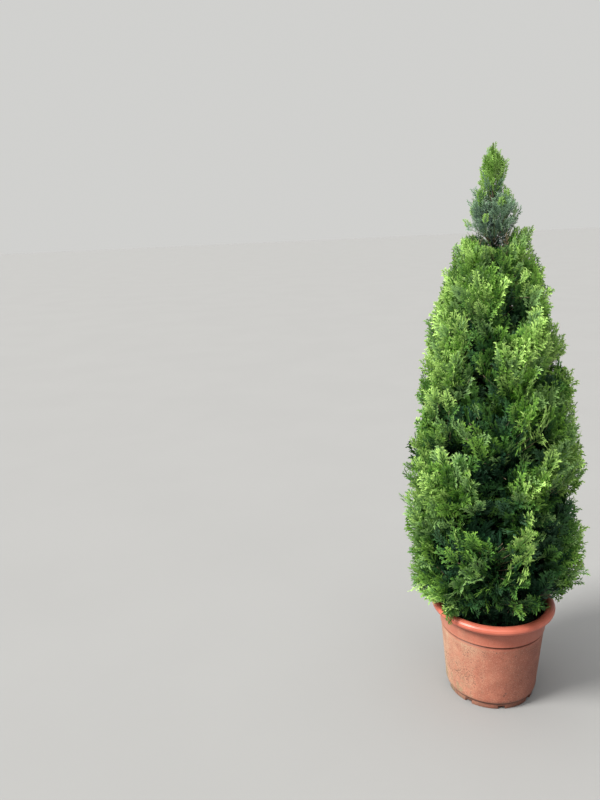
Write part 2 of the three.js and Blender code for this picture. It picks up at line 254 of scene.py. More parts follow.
# puts arrays into a new mesh object; welded shells lose the empty faces at their poles
def makePiece(name, points, faces, finish, uv=None, smooth=True, weld=False):
    mesh = bpy.data.meshes.new(name)
    faceCount, sides = faces.shape
    mesh.vertices.add(len(points))
    mesh.vertices.foreach_set("co", np.ascontiguousarray(points, dtype=np.float32).ravel())
    mesh.loops.add(faceCount * sides)
    mesh.loops.foreach_set("vertex_index", faces.astype(np.int32).ravel())
    mesh.polygons.add(faceCount)
    mesh.polygons.foreach_set("loop_start", np.arange(0, faceCount * sides, sides, dtype=np.int32))
    mesh.polygons.foreach_set("use_smooth", np.full(faceCount, smooth))
    if uv is not None:
        layer = mesh.uv_layers.new(name="surface")
        layer.data.foreach_set("uv", uv[faces.ravel()].astype(np.float32).ravel())
    mesh.materials.append(finish)
    mesh.update(calc_edges=True)
    if weld:
        shell = bmesh.new()
        shell.from_mesh(mesh)
        bmesh.ops.remove_doubles(shell, verts=shell.verts, dist=1e-6)
        bmesh.ops.dissolve_degenerate(shell, edges=shell.edges, dist=1e-7)
        shell.to_mesh(mesh)
        shell.free()
    mesh.validate()
    piece = bpy.data.objects.new(name, mesh)
    bpy.context.scene.collection.objects.link(piece)
    return piece


# the piece moves with the part's one body and stands for these nodes, which are hidden
def standFor(piece, nodes):
    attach(piece, "root")
    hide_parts(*nodes)


# an input is linked to a socket, or set to a value
def feed(tree, wanted, value):
    if isinstance(value, bpy.types.NodeSocket):
        tree.links.new(value, wanted)
    else:
        wanted.default_value = value


# a new node with these settings, and these inputs linked or set
def addNode(tree, kind, inputs=(), **settings):
    node = tree.nodes.new(kind)
    for key, value in settings.items():
        setattr(node, key, value)
    for key, value in dict(inputs).items():
        feed(tree, node.inputs[key], value)
    return node


# noise from 0 to 1 with this many cells to the metre
def noiseOf(tree, vector, scale, detail=4.0, roughness=0.55):
    wanted = {"Vector": vector, "Scale": scale, "Detail": detail, "Roughness": roughness}
    return addNode(tree, "ShaderNodeTexNoise", wanted).outputs["Fac"]


# a value moved from one range to 0..1 by a smooth step; low may lie above high
def rangeOf(tree, value, low, high):
    wanted = {"Value": value, "From Min": low, "From Max": high}
    return addNode(tree, "ShaderNodeMapRange", wanted, interpolation_type="SMOOTHSTEP").outputs["Result"]


# one step of arithmetic with two or three values
def mathOf(tree, work, *values):
    return addNode(tree, "ShaderNodeMath", dict(enumerate(values)), operation=work).outputs[0]


# all values multiplied together
def times(tree, product, *others):
    for other in others:
        product = mathOf(tree, "MULTIPLY", product, other)
    return product


# two values added
def plus(tree, first, second):
    return mathOf(tree, "ADD", first, second)


# from the first colour to the second by a share
def mixOf(tree, share, first, second):
    return addNode(tree, "ShaderNodeMix", {0: share, 6: first, 7: second}, data_type="RGBA").outputs[2]


def colour(red, green, blue):
    return (red, green, blue, 1.0)


def objectVector(tree):
    return addNode(tree, "ShaderNodeTexCoord").outputs["Object"]


def partsOf(tree, vector):
    return addNode(tree, "ShaderNodeSeparateXYZ", {"Vector": vector}).outputs


# a vector whose patterns are drawn out upwards
def drawnOut(tree, vector, upScale):
    wanted = {"Vector": vector, "Scale": (1.0, 1.0, upScale)}
    return addNode(tree, "ShaderNodeMapping", wanted).outputs["Vector"]


# a material, its nodes and the shader of its surface
def newFinish(name, specular):
    finish = bpy.data.materials.new(name)
    finish.use_nodes = True
    shader = finish.node_tree.nodes["Principled BSDF"]
    shader.inputs["Specular IOR Level"].default_value = specular
    return finish, finish.node_tree, shader


# relief in the shading alone: a height of 0 to 1 over a distance in metres
def bumpOf(tree, shader, height, distance, strength):
    bump = addNode(tree, "ShaderNodeBump", {"Height": height, "Distance": distance, "Strength": strength})
    tree.links.new(bump.outputs["Normal"], shader.inputs["Normal"])


driftSettings = {"patchSpan": (0.32, 0.68), "grainDetail": 3.0, "grainRoughness": 0.6, "patchShare": 0.7}


# two colours drifting into each other in patches, with finer grain over them
def makeDriftGroup():
    s = driftSettings
    group = bpy.data.node_groups.new("colourDrift", "ShaderNodeTree")
    for title, kind in (("Vector", "Vector"), ("Dark", "Color"), ("Light", "Color"), ("Patch", "Float"),
                        ("Grain", "Float")):
        group.interface.new_socket(title, in_out="INPUT", socket_type=f"NodeSocket{kind}")
    for title, kind in (("Color", "Color"), ("Patches", "Float"), ("Height", "Float")):
        group.interface.new_socket(title, in_out="OUTPUT", socket_type=f"NodeSocket{kind}")
    take = group.nodes.new("NodeGroupInput").outputs
    give = group.nodes.new("NodeGroupOutput").inputs
    patches = rangeOf(group, noiseOf(group, take["Vector"], take["Patch"]), *s["patchSpan"])
    grain = noiseOf(group, take["Vector"], take["Grain"], s["grainDetail"], s["grainRoughness"])
    share = plus(group, times(group, patches, s["patchShare"]), times(group, grain, 1 - s["patchShare"]))
    group.links.new(mixOf(group, share, take["Dark"], take["Light"]), give["Color"])
    group.links.new(patches, give["Patches"])
    group.links.new(grain, give["Height"])
    return group


driftGroup = makeDriftGroup()


# the drift between a dark and a light colour, with patches and grains to the metre
def driftOf(tree, vector, dark, light, patch, grain):
    colours = {"Dark": colour(*dark), "Light": colour(*light)}
    wanted = colours | {"Vector": vector, "Patch": patch, "Grain": grain}
    return addNode(tree, "ShaderNodeGroup", wanted, node_tree=driftGroup).outputs


# the pot's sizes, in millimetres and degrees, and for the rings' reach round the rim in radians
potSettings = {
    "around": 192,
    "wall": 5,
    "floor": 7,
    "footRadius": 147,
    "footHeight": 24,
    "ledgeRadius": 151,
    "cornerRadius": 158,
    "cornerHeight": 50,
    "cornerFrom": 62,
    "cornerTo": 4,
    "cornerPower": 0.8,
    "bodyTopRadius": 176,
    "bodyTopHeight": 257,
    "bandLowRadius": 179,
    "bandTopRadius": 184,
    "rimRadius": 194,
    "rimHeight": 332,
    "rimRoll": 16,
    "rimHigh": 14,
    "rimFrom": -128,
    "rimRing": 0.45,
    "ringsRound": 14,
    "ringsWithin": 1.9,
    "drainCount": 8,
    "drainWidth": 24,
    "drainHeight": 11,
    "drainInset": 12,
}


# points along a straight stretch, without its last one
def stretchPoints(start, end, count):
    share = np.linspace(0, 1, count, endpoint=False)[:, None]
    return np.asarray(start) * (1 - share) + np.asarray(end) * share


# the pot's section from the middle of its underside, up the outside, over the rim and down inside
def potSection():
    s = potSettings
    foot, ledge, low, high = s["footRadius"], s["footHeight"], s["ledgeRadius"], s["cornerRadius"]
    body, bodyTop, bandLow = s["bodyTopRadius"], s["bodyTopHeight"], s["bandLowRadius"]
    inner = body - s["wall"]
    # the rounded corner between foot and body
    bend = np.radians(np.linspace(-s["cornerFrom"], -s["cornerTo"], 9))
    sine = np.sin(bend) / math.sin(math.radians(s["cornerFrom"]))
    corner = np.stack([
        low - 3 + (high - low + 3) * np.cos(bend) ** s["cornerPower"],
        s["cornerHeight"] + (s["cornerHeight"] - ledge - 1.5) * sine,
    ], axis=-1)
    # the rolled rim: an oval with faint rings round its outer side
    turn = np.radians(np.linspace(s["rimFrom"], 180, 46))
    ring = s["rimRing"] * np.cos(s["ringsRound"] * turn) * (np.abs(turn) < s["ringsWithin"])
    rim = np.stack([
        s["rimRadius"] + (s["rimRoll"] + ring) * np.cos(turn),
        s["rimHeight"] + (s["rimHigh"] + ring) * np.sin(turn),
    ], axis=-1)
    outline = [
        # the underside and the foot with its drain notches, and the ledge over it
        [[0, 0], [foot - 30, 0], [foot - 13, 0], [foot - 1.2, 0], [foot, 1.2], [foot, s["drainHeight"]],
         [foot + 0.02, s["drainHeight"] + 0.1], [foot, ledge - 2.6], [foot + 0.8, ledge - 1.2],
         [low - 0.6, ledge - 1], [low + 1, ledge - 0.4]],
        corner,
        stretchPoints([high + 0.4, s["cornerHeight"] + 6], [body, bodyTop - 6], 26),
        # the groove under the band
        [[body, bodyTop - 6], [body - 0.6, bodyTop - 4.4], [body - 3, bodyTop - 3.6], [body - 4, bodyTop - 2],
         [body - 4, bodyTop], [body - 3, bodyTop + 1], [bandLow - 1, bodyTop + 1.4],
         [bandLow + 0.5, bodyTop + 2.8], [bandLow + 0.5, bodyTop + 5]],
        stretchPoints([bandLow + 0.1, bodyTop + 7], [s["bandTopRadius"], s["rimHeight"] - 14], 10),
        rim,
        stretchPoints([s["rimRadius"] - s["rimRoll"], s["rimHeight"] - 4], [inner, bodyTop], 10),
        [[inner, bodyTop], [high - s["wall"], s["cornerHeight"] + s["wall"]],
         [foot - s["wall"], ledge + s["wall"]], [foot - s["wall"], s["floor"]], [0, s["floor"]]],
    ]
    return np.concatenate([np.asarray(part, dtype=float) for part in outline])


# the section turned about the vertical, with drain notches pushed into the foot
def makePot():
    s = potSettings
    section = potSection()
    foot = s["footRadius"]
    half = math.asin(s["drainWidth"] / 2 / foot)
    pitch = 2 * math.pi / s["drainCount"]
    # columns crowd at both sides of each notch so that its edges are sharp
    local = np.concatenate([
        [-half - 0.001, -half, 0, half, half + 0.001],
        np.linspace(half + 0.02, pitch - half - 0.02, s["around"] // s["drainCount"] - 5),
    ])
    turn = (np.arange(s["drainCount"])[:, None] * pitch + local[None]).ravel()
    inNotch = np.abs(np.mod(turn + pitch / 2, pitch) - pitch / 2) <= half + 1e-6
    # the rows round the foot's lowest edge go inwards where there is a notch
    lowEdge = (section[:, 0] > foot - 20) & (section[:, 0] < foot + 0.01)
    lowEdge &= section[:, 1] <= s["drainHeight"] + 0.001
    lowEdge[len(section) // 2:] = False
    radius = np.repeat(section[:, :1], len(turn), axis=1)
    radius = np.where(lowEdge[:, None] & inNotch[None], np.minimum(radius, foot - s["drainInset"]), radius)
    points = circles(radius, section[:, 1:], turn).reshape(-1, 3) * mm
    piece = makePiece("pot_shell", points, gridFaces(len(section), len(turn)), potFinish(), weld=True)
    standFor(piece, ["pot"])


potLook = {
    # dark and light colour, patches and grains to the metre
    "rimDrift": ((0.52, 0.122, 0.074), (0.70, 0.190, 0.120), 14.0, 520.0),
    "bodyDrift": ((0.37, 0.110, 0.067), (0.55, 0.196, 0.122), 26.0, 640.0),
    # scale, detail and roughness of each noise
    "noises": {
        "streaks": (17.0, 8.0, 0.68), "fine": (150.0, 5.0, 0.75), "grimeAndShade": (21.0, 7.0, 0.62),
        "stain": (34.0, 8.0, 0.7), "winding": (62.0, 3.0, 0.6), "broken": (120.0, 2.0), "crowd": (16.0, 2.0),
        "speck": (185.0, 2.0, 0.5), "grains": (300.0, 2.0, 0.6),
    },
    # where a value starts and where it is full: heights and sides in metres, and then shares
    "spans": {
        "body": (0.262, 0.235), "lowFaceShade": (0.333, 0.322), "bandDust": (0.319, 0.306),
        "filmed": (0.03, -0.19), "otherFilmed": (0.11, 0.175), "shadedGrimySide": (-0.06, 0.14), "low": (0.125, 0.065),
        "grooveFoot": (0.2470, 0.2545), "grooveTop": (0.2615, 0.2585),
        "underRimFoot": (0.303, 0.3115), "underRimTop": (0.3225, 0.3195), "foot": (0.036, 0.016),
        "streaks": (0.36, 0.66), "fine": (0.35, 0.65), "grimeAndShade": (-0.25, 0.75), "stain": (0.47, 0.60),
        "stainSide": (0.45, 0.95), "markRise": (0.460, 0.485), "markFall": (0.540, 0.515),
        "markSide": (0.40, 0.75), "broken": (0.46, 0.54), "crowd": (0.42, 0.60), "speck": (0.625, 0.665),
        "paleGrains": (0.54, 0.66), "darkGrains": (0.46, 0.34), "footSoilAndShade": (-0.4, 1.0),
    },
    # lowest and highest height and the width of the soft edges, in metres
    "bands": {
        # the shoulder's band is a painted highlight, and the step's band is painted shade where the foot
        # steps back
        "shoulderHighlight": (0.240, 0.250, 0.012), "marks": (0.105, 0.145, 0.020), "step": (0.0185, 0.0255, 0.003),
    },
    # strength and colour of what lies on the plastic, from the lowest layer up; the rim's low face and the
    # dark tint in the creases are painted shade, and the grime on the far side and the soil on the foot are
    # partly painted shade
    "layers": {
        "lowFaceShade": (0.42, (0.40, 0.085, 0.050)), "film": (1.0, (0.60, 0.405, 0.265)),
        "grimeAndShade": (0.92, (0.195, 0.052, 0.029)), "stain": (0.85, (0.31, 0.255, 0.145)),
        "marks": (0.9, (0.125, 0.078, 0.045)), "specks": (0.8, (0.10, 0.055, 0.04)),
        "paleGrains": (0.20, (0.80, 0.56, 0.42)), "darkGrains": (0.30, (0.18, 0.07, 0.045)),
        "shadeAndDirt": (0.85, (0.085, 0.034, 0.020)), "footSoilAndShade": (0.55, (0.12, 0.062, 0.042)),
    },
    # what a mask counts for where it is mixed or added to another
    "weights": {
        "bandDust": 0.38, "dust": 0.9, "otherFilmed": 0.3, "streaks": 0.6, "side": 0.4, "fine": 0.6,
        "shoulderHighlight": 0.22, "sideFilm": 0.85, "groove": 0.8, "underRim": 0.7, "grainRelief": 0.6,
        "filmRelief": 0.5,
    },
    "leastFine": 0.5,
    "leastFilm": 0.15,
    "streakScale": 0.3,
    # roughness: more where there is dust or film, and least
    "dull": (0.17, 0.36),
    "bump": (0.8 * mm, 0.35),
}


# moulded plastic: clean coral on the rim and band, and dusty, streaked and specked below, with painted shade
# under the rim, in the creases, on the far side and on the foot, and a painted highlight on the body's
# shoulder
def potFinish():
    s = potLook
    finish, tree, shader = newFinish("terracottaPlastic", 0.45)
    vector = objectVector(tree)
    place = partsOf(tree, vector)
    height, across = place["Z"], place["X"]

    def noise(name, where=vector):
        return noiseOf(tree, where, *s["noises"][name])

    def span(name, value=height):
        return rangeOf(tree, value, *s["spans"][name])

    # 1 within a band of heights, that fades out over its edges
    def band(name):
        low, high, edge = s["bands"][name]
        return times(tree, rangeOf(tree, height, low - edge, low), rangeOf(tree, height, high + edge, high))

    # a mask at its own weight
    def some(name, mask):
        return times(tree, mask, s["weights"][name])

    # a tint laid over the base where all its masks are high
    def layer(base, name, *masks):
        strength, tint = s["layers"][name]
        return mixOf(tree, times(tree, *masks, strength), base, colour(*tint))

    coral = driftOf(tree, vector, *s["rimDrift"])
    dusty = driftOf(tree, vector, *s["bodyDrift"])
    body = span("body")
    # painted shade: the rim's lower face and the band are darker than its top, which faces the light
    base = layer(coral["Color"], "lowFaceShade", span("lowFaceShade"))
    # dust lies on the band too, but thinner than on the body
    dust = mathOf(tree, "MAXIMUM", body, some("bandDust", span("bandDust")))
    base = mixOf(tree, some("dust", dust), base, dusty["Color"])
    # beige lime film in soft streaks, thick on one side and thin round the rest
    side = plus(tree, span("filmed", across), some("otherFilmed", span("otherFilmed", across)))
    streaks = span("streaks", noise("streaks", drawnOut(tree, vector, s["streakScale"])))
    fine = span("fine", noise("fine"))
    # the limy side is filmed all over, and the streaks only thicken it
    film = plus(tree, some("streaks", streaks), some("side", side))
    film = times(tree, film, plus(tree, s["leastFine"], some("fine", fine)))
    # a painted highlight: the body's upper edge, where its shoulder catches the light, takes the film's pale
    # colour the most
    film = plus(tree, film, some("shoulderHighlight", band("shoulderHighlight")))
    filmed = times(tree, film, dust, plus(tree, some("sideFilm", side), s["leastFilm"]))
    base = layer(base, "film", filmed)
    # brown grime and painted shade on the other side, which is turned away from the light, in patches
    base = layer(base, "grimeAndShade", span("shadedGrimySide", across), dust, span("grimeAndShade", noise("grimeAndShade")))
    # olive stain low down on the limy side
    base = layer(base, "stain", span("stain", noise("stain")), span("low"), span("stainSide", side))
    # thin winding dirt marks low down on the limy side
    winding = noise("winding")
    marks = times(tree, span("markRise", winding), span("markFall", winding))
    markPlace = times(tree, band("marks"), span("markSide", side))
    base = layer(base, "marks", marks, markPlace, span("broken", noise("broken")))
    # dark specks of dirt, in loose crowds
    base = layer(base, "specks", span("speck", noise("speck")), span("crowd", noise("crowd")), body)
    # pale and dark mineral grains, about 3 mm across
    grains = noise("grains")
    for name in ("paleGrains", "darkGrains"):
        base = layer(base, name, span(name, grains), dust)
    # painted shade, with some dirt, darkens the groove, the wall under the rim and the step where the foot
    # steps back
    groove = some("groove", times(tree, span("grooveFoot"), span("grooveTop")))
    underRim = some("underRim", times(tree, span("underRimFoot"), span("underRimTop")))
    shadeAndDirt = mathOf(tree, "MAXIMUM", mathOf(tree, "MAXIMUM", groove, underRim), band("step"))
    base = layer(base, "shadeAndDirt", shadeAndDirt)
    # splashed soil, and painted shade of its recess, darken the foot towards the ground
    base = layer(base, "footSoilAndShade", span("foot"), span("footSoilAndShade", fine))
    tree.links.new(base, shader.inputs["Base Color"])
    dull = mathOf(tree, "MULTIPLY_ADD", plus(tree, body, filmed), *s["dull"])
    tree.links.new(dull, shader.inputs["Roughness"])
    relief = plus(tree, some("grainRelief", dusty["Height"]), some("filmRelief", film))
    bumpOf(tree, shader, relief, *s["bump"])
    return finish


soilSettings = {
    "rings": 90,
    "around": 160,
    "clear": 0.2 * mm,
    "edgeDrop": 8 * mm,
    "flat": 60 * mm,
    "clod": 5 * mm,
    "highest": 1.5 * mm,
    # clods of three sizes: metres across, share, cells before the noise repeats, and its seed
    "clods": [(0.021, 0.6, 400, 5), (0.009, 0.4, 400, 6), (0.0045, 0.2, 900, 7)],
    # what their shares add up to
    "allClods": 1.2,
    # these keep the noises' cells above zero on all sides
    "shifts": (40, 90, 90),
    # rings crowd outwards by this power
    "crowding": 0.8,
    # the sides' gap to the foot's wall, the height where they start to widen and their inset at the top
    "sideGap": 0.3 * mm,
    "footTop": 30 * mm,
    "sideInset": 2 * mm,
    # dark and light colour, patches and grains to the metre
    "drift": ((0.008, 0.006, 0.005), (0.045, 0.032, 0.022), 60.0, 380.0),
    "dullSpan": (1.4, -0.2),
    "bump": (3 * mm, 0.8),
}


# dark crumbs, dull where they are deep
def soilFinish():
    finish, tree, shader = newFinish("pottingSoil", 0.5)
    crumb = driftOf(tree, objectVector(tree), *soilSettings["drift"])
    tree.links.new(crumb["Color"], shader.inputs["Base Color"])
    tree.links.new(rangeOf(tree, crumb["Height"], *soilSettings["dullSpan"]), shader.inputs["Roughness"])
    bumpOf(tree, shader, crumb["Height"], *soilSettings["bump"])
    return finish


# a mound z = level - drop of the radius, roughened by clods, on straight sides that fill the pot
def makeSoil():
    s, pot = soilSettings, potSettings
    low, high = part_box("soil")
    level, foot = plantRule["soilLevel"], low[2]
    edge = high[0] - s["clear"]
    turn = np.linspace(0, 2 * math.pi, s["around"], endpoint=False)
    ring = np.linspace(0, 1, s["rings"]) ** s["crowding"] * edge
    radius, angle = np.meshgrid(ring, turn, indexing="ij")
    x, y = radius * np.cos(angle), radius * np.sin(angle)
    fall = np.clip((radius - s["flat"]) / (edge - s["flat"]), 0, 1)
    rough = sum(
        softNoise(x / size + shift, y / size + shift, cells, seed) * share
        for (size, share, cells, seed), shift in zip(s["clods"], s["shifts"])
    )
    z = level - s["edgeDrop"] * fall - s["clod"] * (s["allClods"] - rough)
    z = np.minimum(z, level + s["highest"])
    top = np.stack([x, y, z], axis=-1)[::-1]
    base = (pot["footRadius"] - pot["wall"]) * mm - s["sideGap"]
    sideTop = [edge - s["sideInset"], pot["bodyTopHeight"] * mm]
    sides = [[0, foot], [base, foot], [base, s["footTop"]], sideTop]
    wall = np.array([circles(radius, height, turn) for radius, height in sides])
    points = np.concatenate([wall, top])
    faces = gridFaces(len(points), len(turn))
    piece = makePiece("soil_surface", points.reshape(-1, 3), faces, soilFinish(), weld=True)
    standFor(piece, ["soil"])


# every mass's axis is B(t) = (1-t)^2 p0 + 2t(1-t) p1 + t^2 p2, from the trunk out to its tip
def planMasses():
    rule = plantRule
    plans = []
    for level, row in enumerate(tierRows):
        name, count, root, tip, turn, jut, blade, onBough, isOpen, twigs = row
        for place in range(count):
            seed = level * 10 + place
            low = root * mm + scatter(seed, 1, rule["scatterRoot"])
            high = tip * mm + scatter(seed, 2, rule["scatterOpenTip"] if isOpen else rule["scatterTip"])
            heading = math.radians(turn + 360 * place / count + scatter(seed, 3, rule["scatterTurn"]))
            outward = np.array([math.cos(heading), math.sin(heading), 0.0])
            bend = low + (high - low) * rule["bendRise"]

            def out(height, share):
                return trunkMiddle(np.float64(height)) + outward * share * crownRadius(height)

            plans.append({
                "name": f"mass_{name}_{place + 1}", "tier": name, "seed": seed, "outward": outward,
                "blade": blade * mm, "open": isOpen, "twigs": twigs,
                "bough": f"bough_{name}_{place + 1}" if onBough else None,
                "curve": np.array([out(low, 0), out(bend, jut * rule["bendOut"]), out(high, jut)]),
            })
    return plans


# B(t) of one curve or of many
def curvePoint(curve, t):
    return (1 - t) ** 2 * curve[..., 0, :] + 2 * t * (1 - t) * curve[..., 1, :] + t**2 * curve[..., 2, :]


# the direction of B'(t), which is that of (1-t) (p1 - p0) + t (p2 - p1)
def curveSlope(curve, t):
    return unit((1 - t) * (curve[..., 1, :] - curve[..., 0, :]) + t * (curve[..., 2, :] - curve[..., 1, :]))


masses = planMasses()
massCount = len(masses)
curves = np.array([mass["curve"] for mass in masses])
outwards = np.array([mass["outward"] for mass in masses])
# the curve parameter at even steps of length, one row for each mass
fineSteps = 200
fineT = np.linspace(0, 1, fineSteps + 1)
finePoints = np.array([curvePoint(curve, fineT[:, None]) for curve in curves])
stepLengths = np.linalg.norm(np.diff(finePoints, axis=1), axis=2)
lengthTables = np.concatenate([np.zeros((massCount, 1)), np.cumsum(stepLengths, axis=1)], axis=1)
axisLengths = lengthTables[:, -1]
evenT = np.array([np.interp(fineT * table[-1], table, fineT) for table in lengthTables])


# point and direction at a share of each named mass's length
def onAxis(which, share):
    place = np.clip(share, 0, 1) * fineSteps
    low = np.minimum(np.floor(place).astype(int), fineSteps - 1)
    t = evenT[which, low] + (evenT[which, low + 1] - evenT[which, low]) * (place - low)
    return curvePoint(curves[which], t[..., None]), curveSlope(curves[which], t[..., None])


axisKnots = np.stack([
    onAxis(np.arange(massCount), np.full(massCount, step / plantRule["axisSteps"]))[0]
    for step in range(plantRule["axisSteps"] + 1)
], axis=1)
print("axes of", massCount, "masses")


# shortest distance of each point to every axis, which is a row of straight stretches
def axisDistances(points, chunk=8000):
    starts = axisKnots[:, :-1].reshape(-1, 3)
    runs = (axisKnots[:, 1:] - axisKnots[:, :-1]).reshape(-1, 3)
    squares = np.sum(runs**2, axis=1)
    nearest = np.empty((len(points), massCount))
    for first in range(0, len(points), chunk):
        offset = points[first:first + chunk, None] - starts[None]
        share = np.clip(np.einsum("ijk,jk->ij", offset, runs) / squares, 0, 1)
        gap = offset - share[..., None] * runs[None]
        distance = np.sqrt(np.einsum("ijk,ijk->ij", gap, gap))
        nearest[first:first + chunk] = distance.reshape(len(offset), massCount, -1).min(axis=2)
    return nearest


# true where a point is inside the crown, above the soil, and clear of trunk, rim and wall;
# beyond is how far past the outline it may be, and without a trunk gap it may be in the trunk
def inCrown(points, beyond, trunkGap=None):
    pot, gap = potSettings, plantRule["limbGap"]
    rimRadius, rimHeight, rimRoll = pot["rimRadius"] * mm, pot["rimHeight"] * mm, pot["rimRoll"] * mm
    height = points[:, 2]
    middle = trunkMiddle(height)
    out = np.hypot(points[:, 0] - middle[:, 0], points[:, 1] - middle[:, 1])
    inside = height <= plantRule["crownTop"] + 0.5 * beyond
    inside &= out <= crownRadius(height) - plumeHollow(points) + beyond
    if trunkGap is not None:
        inside &= out >= trunkRadius(height) + trunkGap
    fromAxis = np.hypot(points[:, 0], points[:, 1])
    inside &= (fromAxis > rimRadius) | (height > plantRule["soilLevel"] + gap)
    nearWall = np.abs(fromAxis - rimRadius) < rimRoll + gap
    inside &= (height > rimHeight) | ~nearWall
    inside &= np.hypot(fromAxis - rimRadius, height - rimHeight) > rimRoll + gap
    return inside & ~overRim(points, fromAxis)


# the skirt keeps inside the rim: headings in degrees, heights and radii in metres
skirtSettings = {
    # in front it stays well back, and a strip of soil shows
    "front": -77,
    "frontHalf": 81,
    "frontBelow": 0.396,
    "frontOut": 0.152,
    "below": 0.356,
    "out": 0.168,
    # nearer to the trunk than this its limit comes down, by this share of the way
    "fullOut": 0.22,
    "slope": 0.5,
    # heading and half-width of the places where it hangs over
    "overhangs": [(158, 22), (-143, 7)],
}


# true where a point is over or near the rim, but not at an overhang
def overRim(points, fromAxis):
    s = skirtSettings
    heading = np.degrees(np.arctan2(points[:, 1], points[:, 0]))
    inFront = np.abs(turnedFrom(heading, s["front"])) < s["frontHalf"]
    below = np.where(inFront, s["frontBelow"], s["below"]) - s["slope"] * (s["fullOut"] - fromAxis).clip(0)
    isOver = (points[:, 2] < below) & (fromAxis > np.where(inFront, s["frontOut"], s["out"]))
    for middle, half in s["overhangs"]:
        isOver &= np.abs(turnedFrom(heading, middle)) > half
    return isOver


# how far one can go from each start before it leaves the mass's own space
def roomAlong(starts, directions, owners, most, stride, overlap):
    steps = int(np.ceil(most.max() / stride))
    away = (np.arange(steps) + 1) * stride
    flat = (starts[:, None] + directions[:, None] * away[None, :, None]).reshape(-1, 3)
    clear = inCrown(flat, 0).reshape(len(starts), steps)
    distances = axisDistances(flat).reshape(len(starts), steps, -1)
    own = np.take_along_axis(distances, owners[:, None, None], axis=2)[..., 0]
    np.put_along_axis(distances, owners[:, None, None], np.inf, axis=2)
    clear &= distances.min(axis=2) > own - overlap
    clear &= away[None] <= most[:, None]
    return np.where(clear.all(axis=1), steps, np.argmin(clear, axis=1)) * stride


barkSettings = {
    "around": 80,
    "rows": 460,
    "crowding": 1.25,  # rows crowd towards the foot by this power
    "strips": 13,
    "relief": 1.5 * mm,
    "leastRelief": 0.12,
    "lobes": 5,
    "lobeDepth": 0.22,
    "leastRadius": 0.6 * mm,
    # strips, flakes on them and fine grain: weight, cells to a strip, height in metres, share of the drift
    "grain": [(0.55, 1, 0.075, 1), (0.3, 2, 0.022, 1), (0.15, 4, 0.009, 0)],
    # strips drift aside: cells round the limb, height in metres and how many cells they drift by
    "driftCells": 5,
    "driftTall": 0.16,
    "drift": 1.6,
    # name, dark and light colour, patches to the metre
    "trunkFinish": ("fibrousBark", (0.055, 0.038, 0.030), (0.25, 0.185, 0.15), 90.0),
    "boughFinish": ("boughBark", (0.07, 0.045, 0.032), (0.27, 0.185, 0.135), 120.0),
    "twigFinish": ("twigBark", (0.13, 0.092, 0.058), (0.42, 0.31, 0.20), 160.0),
    # height in metres above which trunk and twigs turn green, and over how much
    "youngTrunk": 1.685,
    "youngTwigs": 1.56,
    "youngEdge": 0.05,
    "young": (0.10, 0.155, 0.045),
    "youngShare": 0.8,
    # scale, detail and roughness of its noise, where it starts and is full, strength and colour
    "lichenNoise": (42.0, 5.0, 0.6),
    "lichenSpan": (0.55, 0.7),
    "lichenShare": 0.35,
    "lichen": (0.30, 0.28, 0.22),
    "upScale": 0.16,
    "grainsToMetre": 620.0,
    "dullSpan": (-2.2, 1.6),
    "bump": (1.5 * mm, 0.7),
}


# fibrous bark: long strips that part and meet, with shorter flakes on them, from -0.5 to 0.5
def barkRelief(around, upward, strips, seed):
    s = barkSettings
    drift = softNoise(around * s["driftCells"], upward / s["driftTall"], s["driftCells"], seed) * s["drift"]
    relief = -0.5
    for number, (weight, cells, tall, drifting) in enumerate(s["grain"]):
        across = around * strips * cells + drift * drifting
        relief = relief + weight * softNoise(across, upward / tall, strips * cells, seed + number + 1)
    return relief


# the pattern is drawn out along the limb, and turns green where the shoots are young
def barkFinish(name, dark, light, patch, youngAbove=None):
    s = barkSettings
    finish, tree, shader = newFinish(name, 0.25)
    vector = objectVector(tree)
    grain = driftOf(tree, drawnOut(tree, vector, s["upScale"]), dark, light, patch, s["grainsToMetre"])
    lichen = rangeOf(tree, noiseOf(tree, vector, *s["lichenNoise"]), *s["lichenSpan"])
    base = mixOf(tree, times(tree, lichen, s["lichenShare"]), grain["Color"], colour(*s["lichen"]))
    if youngAbove:
        young = rangeOf(tree, partsOf(tree, vector)["Z"], youngAbove, youngAbove + s["youngEdge"])
        base = mixOf(tree, times(tree, young, s["youngShare"]), base, colour(*s["young"]))
    tree.links.new(base, shader.inputs["Base Color"])
    tree.links.new(rangeOf(tree, grain["Patches"], *s["dullSpan"]), shader.inputs["Roughness"])
    bumpOf(tree, shader, grain["Height"], *s["bump"])
    return finish


# rings (R + relief) (cos a, sin a) round the leaning middle, closed by a flat cut and a tip
def makeTrunk():
    rule, s = plantRule, barkSettings
    foot, top = rule["trunkFoot"], rule["crownTop"]
    height = foot + (top - foot) * np.linspace(0, 1, s["rows"]) ** s["crowding"]
    turn = np.linspace(0, 2 * math.pi, s["around"], endpoint=False)
    lift, angle = np.meshgrid(height, turn, indexing="ij")
    lobe = 1 + s["lobeDepth"] * np.exp(-(lift - foot) / rule["flareHeight"]) * np.cos(s["lobes"] * angle)
    taper = np.clip(trunkRadius(lift) / (rule["footRadius"] * mm), s["leastRelief"], 1)
    relief = barkRelief(angle / (2 * math.pi), lift, s["strips"], 3) * s["relief"] * 2 * taper
    radius = np.maximum(trunkRadius(lift) * lobe + relief, s["leastRadius"])
    radius[-1] = 0
    points = trunkMiddle(lift) + circles(radius, 0 * lift, angle)
    points = np.concatenate([points[:1] * [0, 0, 1], points])
    finish = barkFinish(*s["trunkFinish"], s["youngTrunk"])
    faces = gridFaces(len(points), len(turn))
    piece = makePiece("trunk_bark", points.reshape(-1, 3), faces, finish, weld=True)
    standFor(piece, ["trunk"])


